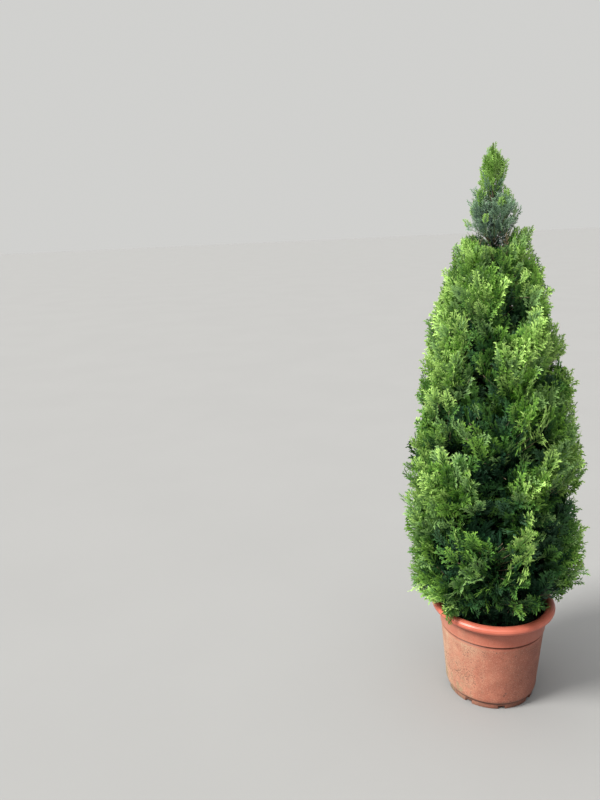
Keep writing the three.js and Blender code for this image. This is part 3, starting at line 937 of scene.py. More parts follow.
# round tubes along many paths at once: path + r (n cos a + b sin a), with both ends drawn to a point
def tubes(paths, radii, around):
    slope = unit(np.gradient(paths, axis=1))
    # paths that are nearly upright take their sides from another direction
    mean = unit(paths[:, -1] - paths[:, 0])
    helper = np.where(np.abs(mean[:, 2:]) > 0.85, np.array([[1.0, 0.0, 0.0]]), up[None])
    normal = unit(np.cross(slope, helper[:, None]))
    second = np.cross(slope, normal)
    turn = np.linspace(0, 2 * math.pi, around, endpoint=False)
    spoke = normal[:, :, None] * np.cos(turn)[None, None, :, None]
    spoke = spoke + second[:, :, None] * np.sin(turn)[None, None, :, None]
    rings = paths[:, :, None] + spoke * radii[..., None]
    ends = np.broadcast_to(paths[:, [0, -1], None], (len(paths), 2, around, 3))
    rings = np.concatenate([ends[:, :1], rings, ends[:, 1:]], axis=1)
    return rings.reshape(-1, 3), gridFaces(rings.shape[1], around, len(paths))


boughSettings = {
    "around": 12,
    "rows": 34,
    "strips": 6,
    "relief": 0.5 * mm,
    "reliefShare": 0.35,
    "fullRadius": 4 * mm,
    # how far limbs waver, waves in radians to a length aside and up, and radians of phase to a metre
    "waver": 6 * mm,
    "waves": (9, 7),
    "phase": 900,
    # places along a limb and radii there in mm: with a bough, in an open mass, and in any other
    "withBough": ([0, 0.28, 1], [7.5, 4.6, 1.1]),
    "open": ([0, 1], [2.8, 0.8]),
    "dense": ([0, 1], [4.4, 1.0]),
}


# a bough that thins evenly along its axis and goes on as the stem of its mass;
# limbs waver a little about the axis, and are straight where they leave the trunk
def makeBoughs():
    s = boughSettings
    number = np.arange(massCount)[:, None]
    share = np.linspace(0, 1, s["rows"])
    which = np.repeat(number, len(share), axis=1)
    paths, slope = onAxis(which, np.broadcast_to(share, which.shape))
    kinds = ["withBough" if mass["bough"] else "open" if mass["open"] else "dense" for mass in masses]
    thick = np.array([np.interp(share, *s[kind]) for kind in kinds]) * mm
    waver = scatter(number + 3.0, np.arange(4)[None] + 70.0, s["waver"])
    side = unit(np.cross(slope, up))
    for first, direction, waves in ((0, side, s["waves"][0]), (2, up, s["waves"][1])):
        phase, most = waver[:, first:first + 1] * s["phase"], waver[:, first + 1:first + 2]
        swing = np.sin(share * waves + phase) * most * share
        paths = paths + direction * swing[..., None]
    around = np.linspace(0, 1, s["around"], endpoint=False)
    relief = np.stack([
        barkRelief(around[None], share[:, None] * axisLengths[index] + index, s["strips"], 11 + index)
        for index in range(massCount)
    ])
    thick = thick[..., None]
    deep = s["relief"] * np.minimum(1, thick / s["fullRadius"])
    radii = thick * (1 + s["reliefShare"] * relief) + relief * deep
    points, faces = tubes(paths, radii, s["around"])
    piece = makePiece("bough_bark", points, faces, barkFinish(*barkSettings["boughFinish"]), weld=True)
    standFor(piece, [mass["bough"] for mass in masses if mass["bough"]])


twigSettings = {
    "from": 0.24,
    "to": 0.98,
    "stride": 5 * mm,
    "reachInBlades": 1.7,
    "overlap": 9 * mm,
    "rings": 7,
    "around": 4,
    "thick": 1.5 * mm,
    "thin": 0.5 * mm,
    # a twig of this length has the full thickness, and others have from the least to the most of it
    "fullLength": 0.12,
    "thickness": (0.55, 1.2),
    # how strongly twigs curve, up or, near the pot, down, and aside
    "curl": 0.2,
    "leastCurl": 0.5,
    "rise": 0.85,
    "sink": -0.25,
    "sinksBelow": 0.43,
    "aside": 1.6,
    # shortest room that grows a twig, for open and for dense ones
    "leastRoom": (14 * mm, 26 * mm),
    # a twig ends short of its room by this share of a spray, and is at least so long
    "shortBy": 0.8,
    "leastLength": 10 * mm,
    # the trunk's own twigs: the steps that are tried and their length in mm, how far past the outline
    # they may reach, and the power by which they crowd upwards
    "leaderSteps": 60,
    "leaderStride": 3,
    "leaderBeyond": 4 * mm,
    "leaderCrowding": 0.72,
    # twigs that grow on the trunk: count, lowest and highest in mm, spread in degrees, length of fan and
    # greatest reach in mm, open or dense
    "leaders": [
        (46, 1584, 1836, (66, 18), 46, 180, True),
        (26, 1420, 1570, (58, 34), 46, 180, False),
        (190, 420, 1500, (80, 66), 54, 130, False),
        (11, 1556, 1650, (74, 56), 40, 62, True),
        (16, 1534, 1600, (86, 70), 36, 60, True),
        (11, 1742, 1794, (36, 26), 48, 180, True),
    ],
}


# a table of twigs, one row each; single values are the same in all rows
def twigTable(**columns):
    count = len(columns["start"])
    return {key: value if np.ndim(value) else np.full(count, value) for key, value in columns.items()}


# twigs leave an axis by the masses' rule: cos(spread) along it and sin(spread) round it by the golden share
def planTwigs():
    rule, s = plantRule, twigSettings
    counts = [mass["twigs"] for mass in masses]
    owner = np.repeat(np.arange(massCount), counts)
    number = np.concatenate([np.arange(count) for count in counts])
    order = np.concatenate([np.linspace(0, 1, count) for count in counts])
    seed, isOpen, blade = [
        np.array([masses[index][key] for index in owner]) for key in ("seed", "open", "blade")
    ]
    start, slope = onAxis(owner, s["from"] + (s["to"] - s["from"]) * order)
    outward = outwards[owner]
    outer = unit(outward - slope * np.sum(outward * slope, axis=1, keepdims=True))
    aside = np.cross(slope, outer)
    swing = np.radians(rule["swing"]) * (2 * np.mod(number * rule["goldenShare"] + chance(seed, 20), 1) - 1)
    spreads = [first + (last - first) * order for first, last in (rule["openSpread"], rule["denseSpread"])]
    spread = np.radians(np.where(isOpen, *spreads))[:, None]
    direction = slope * np.cos(spread)
    direction = direction + outer * np.sin(spread) * np.cos(swing)[:, None]
    direction = unit(direction + aside * np.sin(spread) * np.sin(swing)[:, None])
    room = roomAlong(start, direction, owner, blade * s["reachInBlades"], s["stride"], s["overlap"])
    return twigTable(
        owner=owner, seed=seed * 100 + number, start=start, direction=direction, room=room, blade=blade,
        roll=scatter(seed, 40 + number, np.radians(rule["roll"])), outward=outward, open=isOpen, order=order,
        leader=False, extra=0.0,
    )


# the trunk grows twigs of its own, which crowd and close in on it towards the top of each row
def planLeaderTwigs(row, place):
    s = twigSettings
    count, lowest, highest, spreads, fan, most, isOpen = row
    number = np.arange(count)
    order = number / (count - 1)
    height = (lowest + (highest - lowest) * order ** s["leaderCrowding"]) * mm
    turn = 2 * math.pi * np.mod(number * plantRule["goldenShare"], 1)
    outward = circles(1, 0, turn)
    spread = np.radians(np.interp(order, [0, 1], spreads))[:, None]
    direction = up * np.cos(spread) + outward * np.sin(spread)
    start = trunkMiddle(height)
    away = np.arange(1, s["leaderSteps"]) * s["leaderStride"] * mm
    points = start[:, None] + direction[:, None] * away[None, :, None]
    clear = inCrown(points.reshape(-1, 3), s["leaderBeyond"]).reshape(count, -1)
    steps = np.where(clear.all(axis=1), s["leaderSteps"], np.argmin(clear, axis=1))
    owner = [mass["tier"] for mass in masses].index("spire" if isOpen else "prong")
    return twigTable(
        owner=owner, seed=9000 + 500 * place + number, start=start, direction=direction,
        room=np.minimum(steps * s["leaderStride"], most) * mm, blade=fan * mm / fanSettings["ofBlade"],
        roll=scatter(number, 91, np.radians(plantRule["roll"])), outward=outward, open=isOpen, order=order,
        leader=True, extra=0.0,
    )


sprigSettings = {
    # single twigs to places where the photo shows a tip: heading in degrees, radius and height in mm
    "tips": [
        (175, 240, 348), (170, 254, 356), (165, 258, 376), (158, 250, 350), (160, 262, 388), (167, 284, 398),
        (174, 268, 410), (181, 262, 404), (-172, 262, 410), (-144, 212, 352), (-142, 200, 360),
        (-16, 288, 520), (-22, 282, 500), (-10, 284, 470), (-4, 278, 450), (-18, 270, 430), (-28, 276, 462),
        (166, 306, 388), (172, 296, 380), (164, 320, 748), (159, 312, 728), (169, 316, 772), (163, 316, 690),
        (-16, 226, 1196), (-24, 222, 1220), (-9, 222, 1172), (-16, 118, 1562), (-8, 260, 418),
        (166, 84, 1676), (157, 82, 1656), (175, 84, 1690), (163, 86, 1640), (-178, 80, 1664),
    ],
    # how much further than others a spray on these may stand out
    "extra": 24 * mm,
    "shortest": 50 * mm,
    "roll": 120,
    # above this height in metres they are open twigs with small sprays
    "openAbove": 1.6,
    "openBlade": 0.076,
    "blade": 0.13,
}


# each starts at the nearest knot of any axis that isn't too near
def planSprigs():
    s = sprigSettings
    heading, radius, height = np.array(s["tips"], dtype=float).T
    tip = circles(radius, height, np.radians(heading)) * mm
    knots = axisKnots[:, 1:].reshape(-1, 3)
    away = np.linalg.norm(tip[:, None] - knots[None], axis=2)
    nearest = np.argmin(np.where(away < s["shortest"], np.inf, away), axis=1)
    start = knots[nearest]
    owner = nearest // (axisKnots.shape[1] - 1)
    number = np.arange(len(tip))
    isOpen = tip[:, 2] > s["openAbove"]
    return twigTable(
        owner=owner, seed=12000 + number, start=start, direction=unit(tip - start),
        room=np.linalg.norm(tip - start, axis=1), blade=np.where(isOpen, s["openBlade"], s["blade"]),
        roll=scatter(number, 92, np.radians(s["roll"])), outward=outwards[owner], open=isOpen, order=0.5,
        leader=False, extra=s["extra"],
    )


# a twig's path: start + L (s d + curl s^2 (lift + side)), bending upwards and a little sideways
def growTwigs(twigs):
    s = twigSettings
    hasRoom = twigs["room"] > np.where(twigs["open"], *s["leastRoom"])
    twigs = {key: value[hasRoom] for key, value in twigs.items()}
    fan = fanSize(twigs)
    length = np.maximum(twigs["room"] - s["shortBy"] * fan, s["leastLength"])
    share = np.linspace(0, 1, s["rings"])[None, :, None]
    side = unit(np.cross(twigs["direction"], up + 0.01))
    sway = scatter(twigs["seed"], 21)[:, None]
    rise = np.where(twigs["start"][:, 2:] < s["sinksBelow"], s["sink"], s["rise"])
    rise = rise * (s["leastCurl"] + chance(twigs["seed"], 22))[:, None]
    bend = (up * rise + side * sway * s["aside"]) * s["curl"]
    paths = twigs["start"][:, None] + length[:, None, None] * (
        twigs["direction"][:, None] * share + bend[:, None] * share**2
    )
    return twigs | {"length": length, "fan": fan, "bend": bend, "paths": paths}


# a spray's length on each twig; the leader's sprays shrink towards its tip
def fanSize(twigs):
    s = fanSettings
    size = np.clip(twigs["blade"] * s["ofBlade"], *s["sizes"])
    return np.where(twigs["leader"], size * (1 - s["leaderShrink"] * twigs["order"]), size)


# all twigs in one piece: tubes that thin evenly from thick to thin
def makeTwigs(twigGroups):
    s = twigSettings
    paths, length = [np.concatenate([group[key] for group in twigGroups]) for key in ("paths", "length")]
    share = np.linspace(0, 1, s["rings"])
    thick = s["thick"] * np.clip(length / s["fullLength"], *s["thickness"])
    radii = thick[:, None] * (1 - share) + s["thin"] * share
    points, faces = tubes(paths, np.repeat(radii[..., None], s["around"], axis=2), s["around"])
    finish = barkFinish(*barkSettings["twigFinish"], barkSettings["youngTwigs"])
    piece = makePiece("twigs", points, faces, finish, weld=True)
    standFor(piece, [mass["name"] for mass in masses])


fanSettings = {
    "variants": 12,
    # a spray's length as a share of its mass's blade, and its least and most
    "ofBlade": 0.5,
    "sizes": (34 * mm, 80 * mm),
    "leaderShrink": 0.35,
    # where side branches stand on the rib, how they are scattered, and how far the rib bends aside
    "pairs": 6,
    "branchFrom": 0.05,
    "branchSpan": 0.84,
    "branchScatter": 0.7,
    "ribBend": 0.36,
    # degrees between rib and branch, how much less at the tip, and scatter
    "widest": 47,
    "narrowing": 22,
    "turnScatter": 14,
    # a branch's length at the root, how it falls off towards the tip, and the least
    "reach": 0.46,
    "fallOff": 0.62,
    "least": 0.09,
    # branches near the fan's root are shorter: places and shares; and their size by chance, least and more
    "shortNearRoot": ([0.05, 0.25], [0.72, 1]),
    "branchSizes": (0.74, 0.5),
    "branchLift": 0.5,
    # half-width of branches and of fingers: share of their length, and more
    "branchWidth": (0.056, 0.0145),
    "fingerWidth": (0.068, 0.0135),
    # fingers on each branch: place along it, degrees off it and share of its length
    "fingers": [(0.27, 34, 0.45), (0.50, -32, 0.41), (0.72, 28, 0.32)],
    "fingerTurn": 12,
    # a finger's size by chance, least and more, and how much older its tip is than its root
    "fingerSizes": (0.8, 0.4),
    "fingerAge": 0.45,
    # the rib is two long fingers: start aside in its own bends and ahead, turn in its bends, length,
    # half-width, age at root and at tip
    "rib": [(0, 0, 0.4, 0.6, 0.013, 0, 0.4), (0.25, 0.48, 1.4, 0.55, 0.02, 0.35, 1)],
    # deep inside the crown the fans have no fingers, and wider branches
    "coarseWidth": 1.9,
    # where a kite is widest along its length, and how far it is folded there
    "kiteWaist": 0.6,
    "kiteFold": 0.35,
    # the fan's droop at its tip, least and scatter, and how it is cupped across
    "droop": (0.04, 0.2),
    "cup": 0.9,
    # sprays on a twig: how many at most, how far apart, and how much longer each next step inwards is
    "slots": 12,
    "spacing": 11 * mm,
    "widening": 0.045,
    # sizes that are tried, as shares of a spray's own
    "fits": (0.58, 0.78, 1.0),
    # how far past the outline a spray's tip may stand, least and most, and how rarely it is much
    "beyond": (2 * mm, 17 * mm),
    "beyondPower": 1.5,
    # places on a spray that have to be inside the crown: share of its length ahead and aside;
    # those past its inner part have to be clear of the trunk too
    "corners": [(1.0, 0), (0.55, 0.36), (0.55, -0.36), (0.2, 0)],
    "innerPart": 0.5,
    "trunkGap": 2 * mm,
    # every twig has at least this many sprays, and none stands further in than this share of its length
    "fewest": 2,
    "innermost": 0.1,
    # degrees between a spray and its twig: least, more at each of three steps, and by chance
    "opening": 34,
    "openingStep": 5.4,
    "openingChance": 16,
    # lean away from the trunk, and scatter of the direction and of the turn about it
    "lean": 0.12,
    "tossed": 0.7,
    "twist": 1.5,
    # a spray's size by chance, least and more, and how much longer the one at a twig's tip is
    "spraySizes": (0.78, 0.42),
    "tipLonger": 1.12,
    # how steeply sprays reach up at these heights in metres, on the leader and below the last height
    "liftHeights": (0.45, 0.8, 1.1),
    "lifts": (0.35, 0.55, 1.1),
    "leaderLift": 0.9,
    "hangBelow": 0.41,
    "hang": -0.5,
    # above this height in metres the leader's sprays are this much narrower, and longer to match
    "slimAbove": 1.69,
    "slim": 0.55,
    "slimLonger": 1.5,
    "perPiece": 1900,
}


# one flat fan of pointed fingers, a unit long: side branches leave a middle rib in turn and bear fingers.
# Every finger is a kite (root, right, tip, left) folded a little along its middle. The fourth number of
# each point is the age of the growth there, from 0 at the rib to 1 at the outermost tips.
def fanShape(variant, isCoarse=False):
    s = fanSettings
    rows = np.arange(2 * s["pairs"])
    none = 0.0 * rows

    def draw(salt, width=1.0):
        return scatter(rows, variant + salt, width)

    along = s["branchFrom"] + s["branchSpan"] * (rows + 0.5 + draw(100, s["branchScatter"])) / len(rows)
    side = np.where((rows + variant) % 2 == 0, 1.0, -1.0)
    curve = scatter(variant, 130, s["ribBend"])
    opening = s["widest"] - s["narrowing"] * along + draw(110, s["turnScatter"])
    angle = side * np.radians(opening) + curve * along
    length = s["reach"] * (1 - along) ** s["fallOff"] + s["least"]
    least, more = s["branchSizes"]
    length = length * np.interp(along, *s["shortNearRoot"]) * (least + more * chance(rows, variant + 120))
    root = np.stack([curve * along**2, along], axis=-1)
    ahead = np.stack([np.sin(angle), np.cos(angle)], axis=-1)
    slope = draw(150, s["branchLift"])
    share, more = s["branchWidth"]
    # root, angle, length, half-width, height and slope of each finger, and its age at root and tip
    kites = [(root, angle, length, share * length + more, none, slope, none, none + 1)]
    share, more = s["fingerWidth"]
    least, rest = s["fingerSizes"]
    for number, (place, turn, scale) in enumerate([] if isCoarse else s["fingers"]):
        part = length * scale * (least + rest * chance(rows, variant + 170 + number))
        off = side * np.radians(turn + draw(160 + number, s["fingerTurn"]))
        kites.append((
            root + ahead * (length * place)[:, None], angle + off, part, share * part + more,
            slope * length * place, slope, none + place, none + min(1, place + s["fingerAge"]),
        ))
    for bent, start, turn, part, width, young, old in s["rib"]:
        kites.append(([[curve * bent, start]], [curve * turn], [part], [width], [0], [0], [young], [old]))
    root, angle, length, width, lift, slope, first, last = [np.concatenate(column) for column in zip(*kites)]
    width = width * (s["coarseWidth"] if isCoarse else 1)
    ahead = np.stack([np.sin(angle), np.cos(angle)], axis=-1)
    aside = np.stack([ahead[:, 1], -ahead[:, 0]], axis=-1) * width[:, None]
    waist = s["kiteWaist"]
    middle = root + ahead * (length * waist)[:, None]
    flat = np.stack([root, middle + aside, root + ahead * length[:, None], middle - aside], axis=1)
    # the fan droops at its tip and is cupped across, and its branches lift or sink a little
    droop = s["droop"][0] + s["droop"][1] * chance(variant, 131)
    height = -droop * flat[..., 1] ** 2 + scatter(variant, 132, s["cup"]) * flat[..., 0] ** 2
    height += lift[:, None] + (slope * length)[:, None] * np.array([0, waist, 1, waist])
    height[:, 1::2] += s["kiteFold"] * width[:, None]
    age = first[:, None] + (last - first)[:, None] * np.array([0, 0.5, 1, 0.5])
    return np.concatenate([flat, height[..., None], age[..., None]], axis=-1)


fanShapes = np.array([fanShape(variant) for variant in range(fanSettings["variants"])])
coarseShapes = np.array([fanShape(variant, True) for variant in range(fanSettings["variants"])])


# fans stand along each twig from its tip inwards, left and right in turn, and lean towards light
def planFans(twigs):
    s = fanSettings
    slot = np.arange(s["slots"])
    inwards = slot * (1 + s["widening"] * slot) * s["spacing"]
    place = 1 - inwards[None] / twigs["length"][:, None]
    twig, step = np.nonzero((place > s["innermost"]) | (slot[None] < s["fewest"]))
    share = np.clip(place, s["innermost"], 1)[twig, step][:, None]
    # one row for each fan from here on, with what its twig says
    length, onTwig, bend, outward = [twigs[key][twig] for key in ("length", "direction", "bend", "outward")]
    isLeader = twigs["leader"][twig]
    seed = twigs["seed"][twig] * 20 + step
    base = twigs["start"][twig] + length[:, None] * (onTwig * share + bend * share**2)
    ahead = unit(onTwig + 2 * bend * share)
    flatAcross = unit(np.cross(up + 0.02, ahead))
    roll = twigs["roll"][twig][:, None]
    across = flatAcross * np.cos(roll) + np.cross(ahead, flatAcross) * np.sin(roll)
    face = np.cross(across, ahead)
    sideways = np.where(step % 2 == 0, 1.0, -1.0)[:, None]
    opening = s["opening"] + s["openingStep"] * np.minimum(step, 3) + s["openingChance"] * chance(seed, 51)
    angle = np.radians(np.where(step == 0, 0, opening))[:, None]
    along = ahead * np.cos(angle) + across * sideways * np.sin(angle)
    # low fans hang, the rest reach up, and the leader's most of all
    lift = np.interp(base[:, 2], s["liftHeights"], s["lifts"])
    lift = np.where(isLeader, s["leaderLift"], lift)
    lift = np.where(base[:, 2] < s["hangBelow"], s["hang"], lift)
    along = along + up * lift[:, None] + outward * s["lean"]
    along = unit(along + face * scatter(seed, 52)[:, None] * s["tossed"])
    turned = unit(across - along * np.sum(across * along, axis=1, keepdims=True))
    tilt = scatter(seed, 53)[:, None] * s["twist"]
    turned = turned * np.cos(tilt) + np.cross(along, turned) * np.sin(tilt)
    least, more = s["spraySizes"]
    size = twigs["fan"][twig] * (least + more * chance(seed, 54)) * np.where(step == 0, s["tipLonger"], 1.0)
    isSlim = isLeader & (base[:, 2] > s["slimAbove"])
    size = np.where(isSlim, size * s["slimLonger"], size)
    turned = np.where(isSlim[:, None], turned * s["slim"], turned)
    # the largest size whose tip and shoulders stay inside the crown, or no fan at all
    least, most = s["beyond"]
    beyond = least + (most - least) * chance(seed, 55) ** s["beyondPower"] + twigs["extra"][twig]
    fitted = np.zeros(len(size))
    for fit in s["fits"]:
        clear = np.ones(len(size), bool)
        for forward, sideward in s["corners"]:
            spot = base + (along * forward + turned * sideward) * (size * fit)[:, None]
            clear &= inCrown(spot, beyond, None if forward < s["innerPart"] else s["trunkGap"])
            clear &= (spot[:, 2] < denseTop(spot)) | twigs["open"][twig]
        fitted = np.where(clear, size * fit, fitted)
    middle = trunkMiddle(base[:, 2])
    tip = base + along * fitted[:, None]
    tipOut = np.hypot(tip[:, 0] - middle[:, 0], tip[:, 1] - middle[:, 1])
    fans = {
        "base": base, "along": along, "across": turned, "size": fitted, "seed": seed, "step": step,
        "owner": twigs["owner"][twig], "depth": crownRadius(tip[:, 2]) - tipOut, "tip": tip,
        "twigSeed": twigs["seed"][twig], "cool": twigs["open"][twig],
    }
    return {key: value[fitted > 0] for key, value in fans.items()}


toneSettings = {
    # weight of what makes a spray light: near the outline, near its twig's tip, its mass, twig and itself;
    # sprays deep in the crown come out darker, which is painted shade
    "outer": 0.52,
    "outerDepth": 85 * mm,
    "fresh": 0.24,
    "freshSteps": 8,
    "mass": 0.16,
    "twig": 0.26,
    "spray": 0.24,
    # heights in metres and what they add: the tuft at the top is light, low sprays are darker, which is
    # painted shade, and those between about 1.1 and 1.35 m a little lighter, which is painted light
    "tuft": ([1.69, 1.76], [0, 0.36]),
    "rise": ([0.36, 0.62, 0.9, 1.08, 1.35, 1.5], [-0.16, -0.05, -0.01, 0.05, 0.05, 0]),
    # about one spray in six shows its bluer side, mostly whole twigs of them
    "paleTwig": 0.7,
    "paleFrom": 0.69,
    "paleLight": 0.16,
    # name, old green, young green, least light, roughness
    "green": [
        ("shade", (0.005, 0.032, 0.013), (0.014, 0.066, 0.024), -9, 0.62),
        ("deep", (0.016, 0.068, 0.021), (0.050, 0.150, 0.038), 0.17, 0.58),
        ("mid", (0.030, 0.100, 0.020), (0.135, 0.312, 0.054), 0.32, 0.56),
        ("bright", (0.048, 0.146, 0.026), (0.290, 0.550, 0.086), 0.50, 0.54),
        ("fresh", (0.080, 0.200, 0.036), (0.545, 0.820, 0.212), 0.65, 0.50),
    ],
    "pale": [
        ("dull", (0.019, 0.066, 0.030), (0.062, 0.152, 0.062), -9, 0.6),
        ("pale", (0.044, 0.122, 0.042), (0.325, 0.545, 0.166), 0.38, 0.52),
    ],
    "cool": [
        ("cool", (0.052, 0.104, 0.078), (0.145, 0.228, 0.178), -9, 0.56),
        ("coolbright", (0.092, 0.185, 0.108), (0.265, 0.410, 0.255), 0.45, 0.52),
        ("tuft", (0.104, 0.226, 0.042), (0.350, 0.595, 0.128), 0.88, 0.52),
    ],
    # the old and young green's shares in the drift's light colour, and where along a finger it turns young
    "oldShare": 0.55,
    "youngFrom": 0.28,
    "youngTo": 0.95,
    "patch": 11.0,
    "grain": 240.0,
    # how much rougher the grain's high parts are, and how much less its low ones
    "sheen": (0.25, 0.12),
    "bump": (0.6 * mm, 0.5),
}


# tone of each fan: lighter near the outline and darker deep inside, which is painted shade, lighter near the
# twig's tip and on brighter masses and twigs, plus chance and the height terms
def fanTones(fans):
    s = toneSettings
    height = fans["tip"][:, 2]
    outer = 1 - np.clip(fans["depth"] / s["outerDepth"], 0, 1)
    fresh = 1 - np.minimum(fans["step"], s["freshSteps"]) / s["freshSteps"]
    light = s["outer"] * outer + s["fresh"] * fresh + scatter(fans["owner"], 61, s["mass"])
    light = light + scatter(fans["twigSeed"], 65, s["twig"]) + scatter(fans["seed"], 62, s["spray"])
    # low down the height adds painted shade, and at middle heights painted light
    return light + np.interp(height, *s["tuft"]) + np.interp(height, *s["rise"])


# scale leaves: old green along the rib runs into young green at the tips
def leafFinish(name, old, young, roughness):
    s = toneSettings
    finish, tree, shader = newFinish(name, 0.3)
    between = [s["oldShare"] * a + (1 - s["oldShare"]) * b for a, b in zip(old, young)]
    drift = driftOf(tree, objectVector(tree), old, between, s["patch"], s["grain"])
    along = partsOf(tree, addNode(tree, "ShaderNodeUVMap", uv_map="surface").outputs["UV"])["Y"]
    tipShare = rangeOf(tree, along, s["youngFrom"], s["youngTo"])
    tree.links.new(mixOf(tree, tipShare, drift["Color"], colour(*young)), shader.inputs["Base Color"])
    more, less = s["sheen"]
    sheen = mathOf(tree, "MULTIPLY_ADD", drift["Height"], more, roughness - less)
    tree.links.new(sheen, shader.inputs["Roughness"])
    bumpOf(tree, shader, drift["Height"], *s["bump"])
    return finish


# kites of many fans at once: base + size (x across + y along + z normal)
def fanMesh(fans, chosen, shapes):
    shape = shapes[(chance(fans["seed"][chosen], 63) * len(shapes)).astype(int)]
    shape = shape.reshape(len(chosen), -1, 4)
    along, across = fans["along"][chosen][:, None], fans["across"][chosen][:, None]
    normal = np.cross(across, along)
    local = shape[..., :1] * across + shape[..., 1:2] * along + shape[..., 2:3] * normal
    points = (fans["base"][chosen][:, None] + local * fans["size"][chosen][:, None, None]).reshape(-1, 3)
    kite = np.arange(len(points) // 4)[:, None] * 4
    faces = np.concatenate([kite + [0, 1, 2], kite + [0, 2, 3]], axis=1).reshape(-1, 3)
    uv = np.stack([np.tile([0.5, 1, 0.5, 0], len(kite)), shape[..., 3].ravel()], axis=-1)
    return points, faces, uv


# sprays of one tone make one piece, or several of even size from the ground up
def makeFoliage(fans):
    s = toneSettings
    light = fanTones(fans)
    isCool = fans["cool"]
    paleness = s["paleTwig"] * chance(fans["twigSeed"], 76) + (1 - s["paleTwig"]) * chance(fans["seed"], 68)
    isPale = ~isCool & (paleness > s["paleFrom"]) & (light > s["paleLight"])
    total = 0
    for kind, zone in (("green", ~isCool & ~isPale), ("pale", isPale), ("cool", isCool)):
        tone = np.searchsorted([row[3] for row in s[kind]], light, side="right") - 1
        for index, (name, old, young, _, roughness) in enumerate(s[kind]):
            chosen = np.nonzero(zone & (tone == index))[0]
            chosen = chosen[np.argsort(fans["tip"][chosen, 2], kind="stable")]
            finish = leafFinish(f"{name}Green", old, young, roughness)
            parts = math.ceil(len(chosen) / fanSettings["perPiece"])
            for number, part in enumerate(np.array_split(chosen, parts)):
                points, faces, uv = fanMesh(fans, part, coarseShapes if name == "shade" else fanShapes)
                title = f"sprays_{name}" if parts == 1 else f"sprays_{name}_{number + 1}"
                piece = makePiece(title, points, faces, finish, uv=uv, smooth=False)
                nodes = sorted({masses[owner]["name"] for owner in fans["owner"][part]})
                standFor(piece, nodes)
                total += len(faces)
                print(title, len(part), "sprays", len(faces), "triangles")
    return total


studioSettings = {
    "floorHalf": 60.0,
    "floorDrift": (1.2, 60.0),
    "floorDark": (0.97, 0.97, 0.96),
    "floorLight": (1, 1, 0.99),
    "floorShade": 0.285,
    "worldShade": (0.86, 0.88, 0.90),
    "worldStrength": 0.32,
    # what the camera sees beyond the floor, like the floor itself
    "backdrop": (0.635, 0.635, 0.62),
    # name, heading and height of the light's source and its spread in degrees, strength, colour
    "suns": [
        ("topSoft", -140, 80, 76, 2.6, (1.0, 0.99, 0.97)),
        ("keySoft", -158, 46, 18, 4.5, (1.0, 0.98, 0.94)),
    ],
}

# the photo was taken from here, in metres and degrees
cameraSettings = {
    "place": (-0.646, -2.213, 1.657),
    "pitch": 14.32,
    "roll": -2.58,
    "lens": 31.5,
    "sensor": 36.0,
}


# one large pale quad, which belongs to the studio and not to the object
def makeFloor():
    s = studioSettings
    half = s["floorHalf"]
    corners = np.array([[-half, -half, 0], [half, -half, 0], [half, half, 0], [-half, half, 0]])
    finish, tree, shader = newFinish("paleFloor", 0.5)
    dark, light = [[s["floorShade"] * share for share in s[key]] for key in ("floorDark", "floorLight")]
    drift = driftOf(tree, objectVector(tree), dark, light, *s["floorDrift"])
    tree.links.new(drift["Color"], shader.inputs["Base Color"])
    shader.inputs["Roughness"].default_value = 0.9
    makePiece("floor", corners, np.array([[0, 1, 2, 3]]), finish, smooth=False)


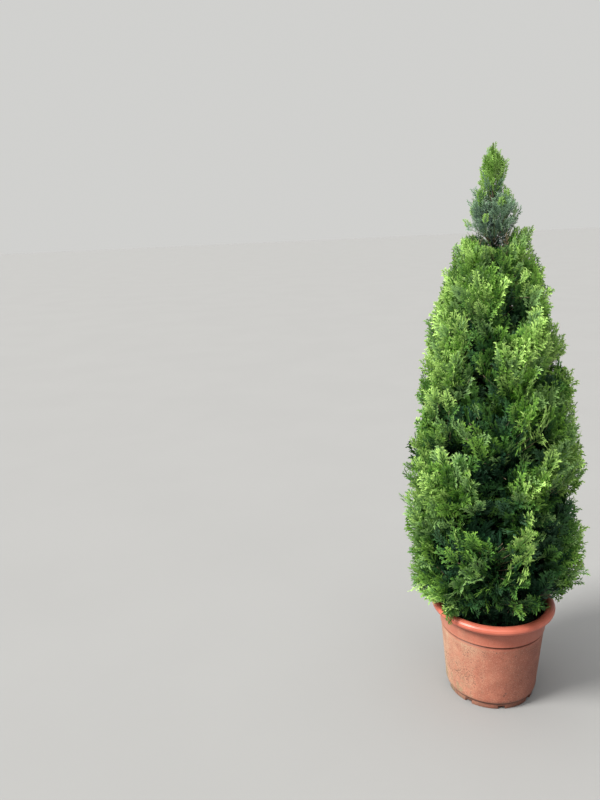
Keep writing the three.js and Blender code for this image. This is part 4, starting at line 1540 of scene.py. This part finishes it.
# soft daylight from all round, two wide suns, and a plain backdrop for the camera alone
def makeLights():
    s = studioSettings
    world = bpy.data.worlds.new("studio")
    bpy.context.scene.world = world
    world.use_nodes = True
    tree = world.node_tree
    light = tree.nodes["Background"]
    light.inputs["Color"].default_value = colour(*s["worldShade"])
    light.inputs["Strength"].default_value = s["worldStrength"]
    backdrop = addNode(tree, "ShaderNodeBackground", {"Color": colour(*s["backdrop"]), "Strength": 1.0})
    seen = addNode(tree, "ShaderNodeLightPath").outputs["Is Camera Ray"]
    both = addNode(tree, "ShaderNodeMixShader", {0: seen, 1: light.outputs[0], 2: backdrop.outputs[0]})
    tree.links.new(both.outputs[0], tree.nodes["World Output"].inputs["Surface"])
    for name, heading, rise, spread, strength, tint in s["suns"]:
        sun = bpy.data.lights.new(name, "SUN")
        sun.angle = math.radians(spread)
        sun.energy = strength
        sun.color = tint
        holder = bpy.data.objects.new(name, sun)
        turn, lift = math.radians(heading), math.radians(rise)
        towards = Vector((math.cos(turn) * math.cos(lift), math.sin(turn) * math.cos(lift), math.sin(lift)))
        holder.matrix_world = towards.to_track_quat("Z", "Y").to_matrix().to_4x4()
        bpy.context.scene.collection.objects.link(holder)


# the camera's own right, up and forward, from its pitch below the horizon and its roll
def makeCamera():
    s = cameraSettings
    pitch, roll = math.radians(s["pitch"]), math.radians(s["roll"])
    right = Vector((1, 0, 0))
    above = Vector((0, math.sin(pitch), math.cos(pitch)))
    forward = Vector((0, math.cos(pitch), -math.sin(pitch)))
    rolledRight = math.cos(roll) * right + math.sin(roll) * above
    rolledUp = math.cos(roll) * above - math.sin(roll) * right
    lens = bpy.data.cameras.new("camera")
    lens.lens = s["lens"]
    lens.sensor_width = s["sensor"]
    holder = bpy.data.objects.new("camera", lens)
    turn = Matrix((rolledRight, rolledUp, -forward)).transposed().to_4x4()
    holder.matrix_world = Matrix.Translation(s["place"]) @ turn
    bpy.context.scene.collection.objects.link(holder)
    bpy.context.scene.camera = holder


bpy.context.scene.view_settings.view_transform = "Standard"
makeFloor()
makeLights()
makeCamera()
print("studio ready")

makePot()
makeSoil()
print("pot and soil ready")

makeTrunk()
makeBoughs()
print("trunk and boughs ready")

massTwigs = growTwigs(planTwigs())
leaderTwigs = [growTwigs(planLeaderTwigs(row, place)) for place, row in enumerate(twigSettings["leaders"])]
twigGroups = [massTwigs, *leaderTwigs, growTwigs(planSprigs())]
makeTwigs(twigGroups)
print("twigs ready:", *[len(group["seed"]) for group in twigGroups])

fanGroups = [planFans(group) for group in twigGroups]
allFans = {key: np.concatenate([group[key] for group in fanGroups]) for key in fanGroups[0]}
print("foliage ready:", makeFoliage(allFans), "triangles in", len(allFans["seed"]), "sprays")
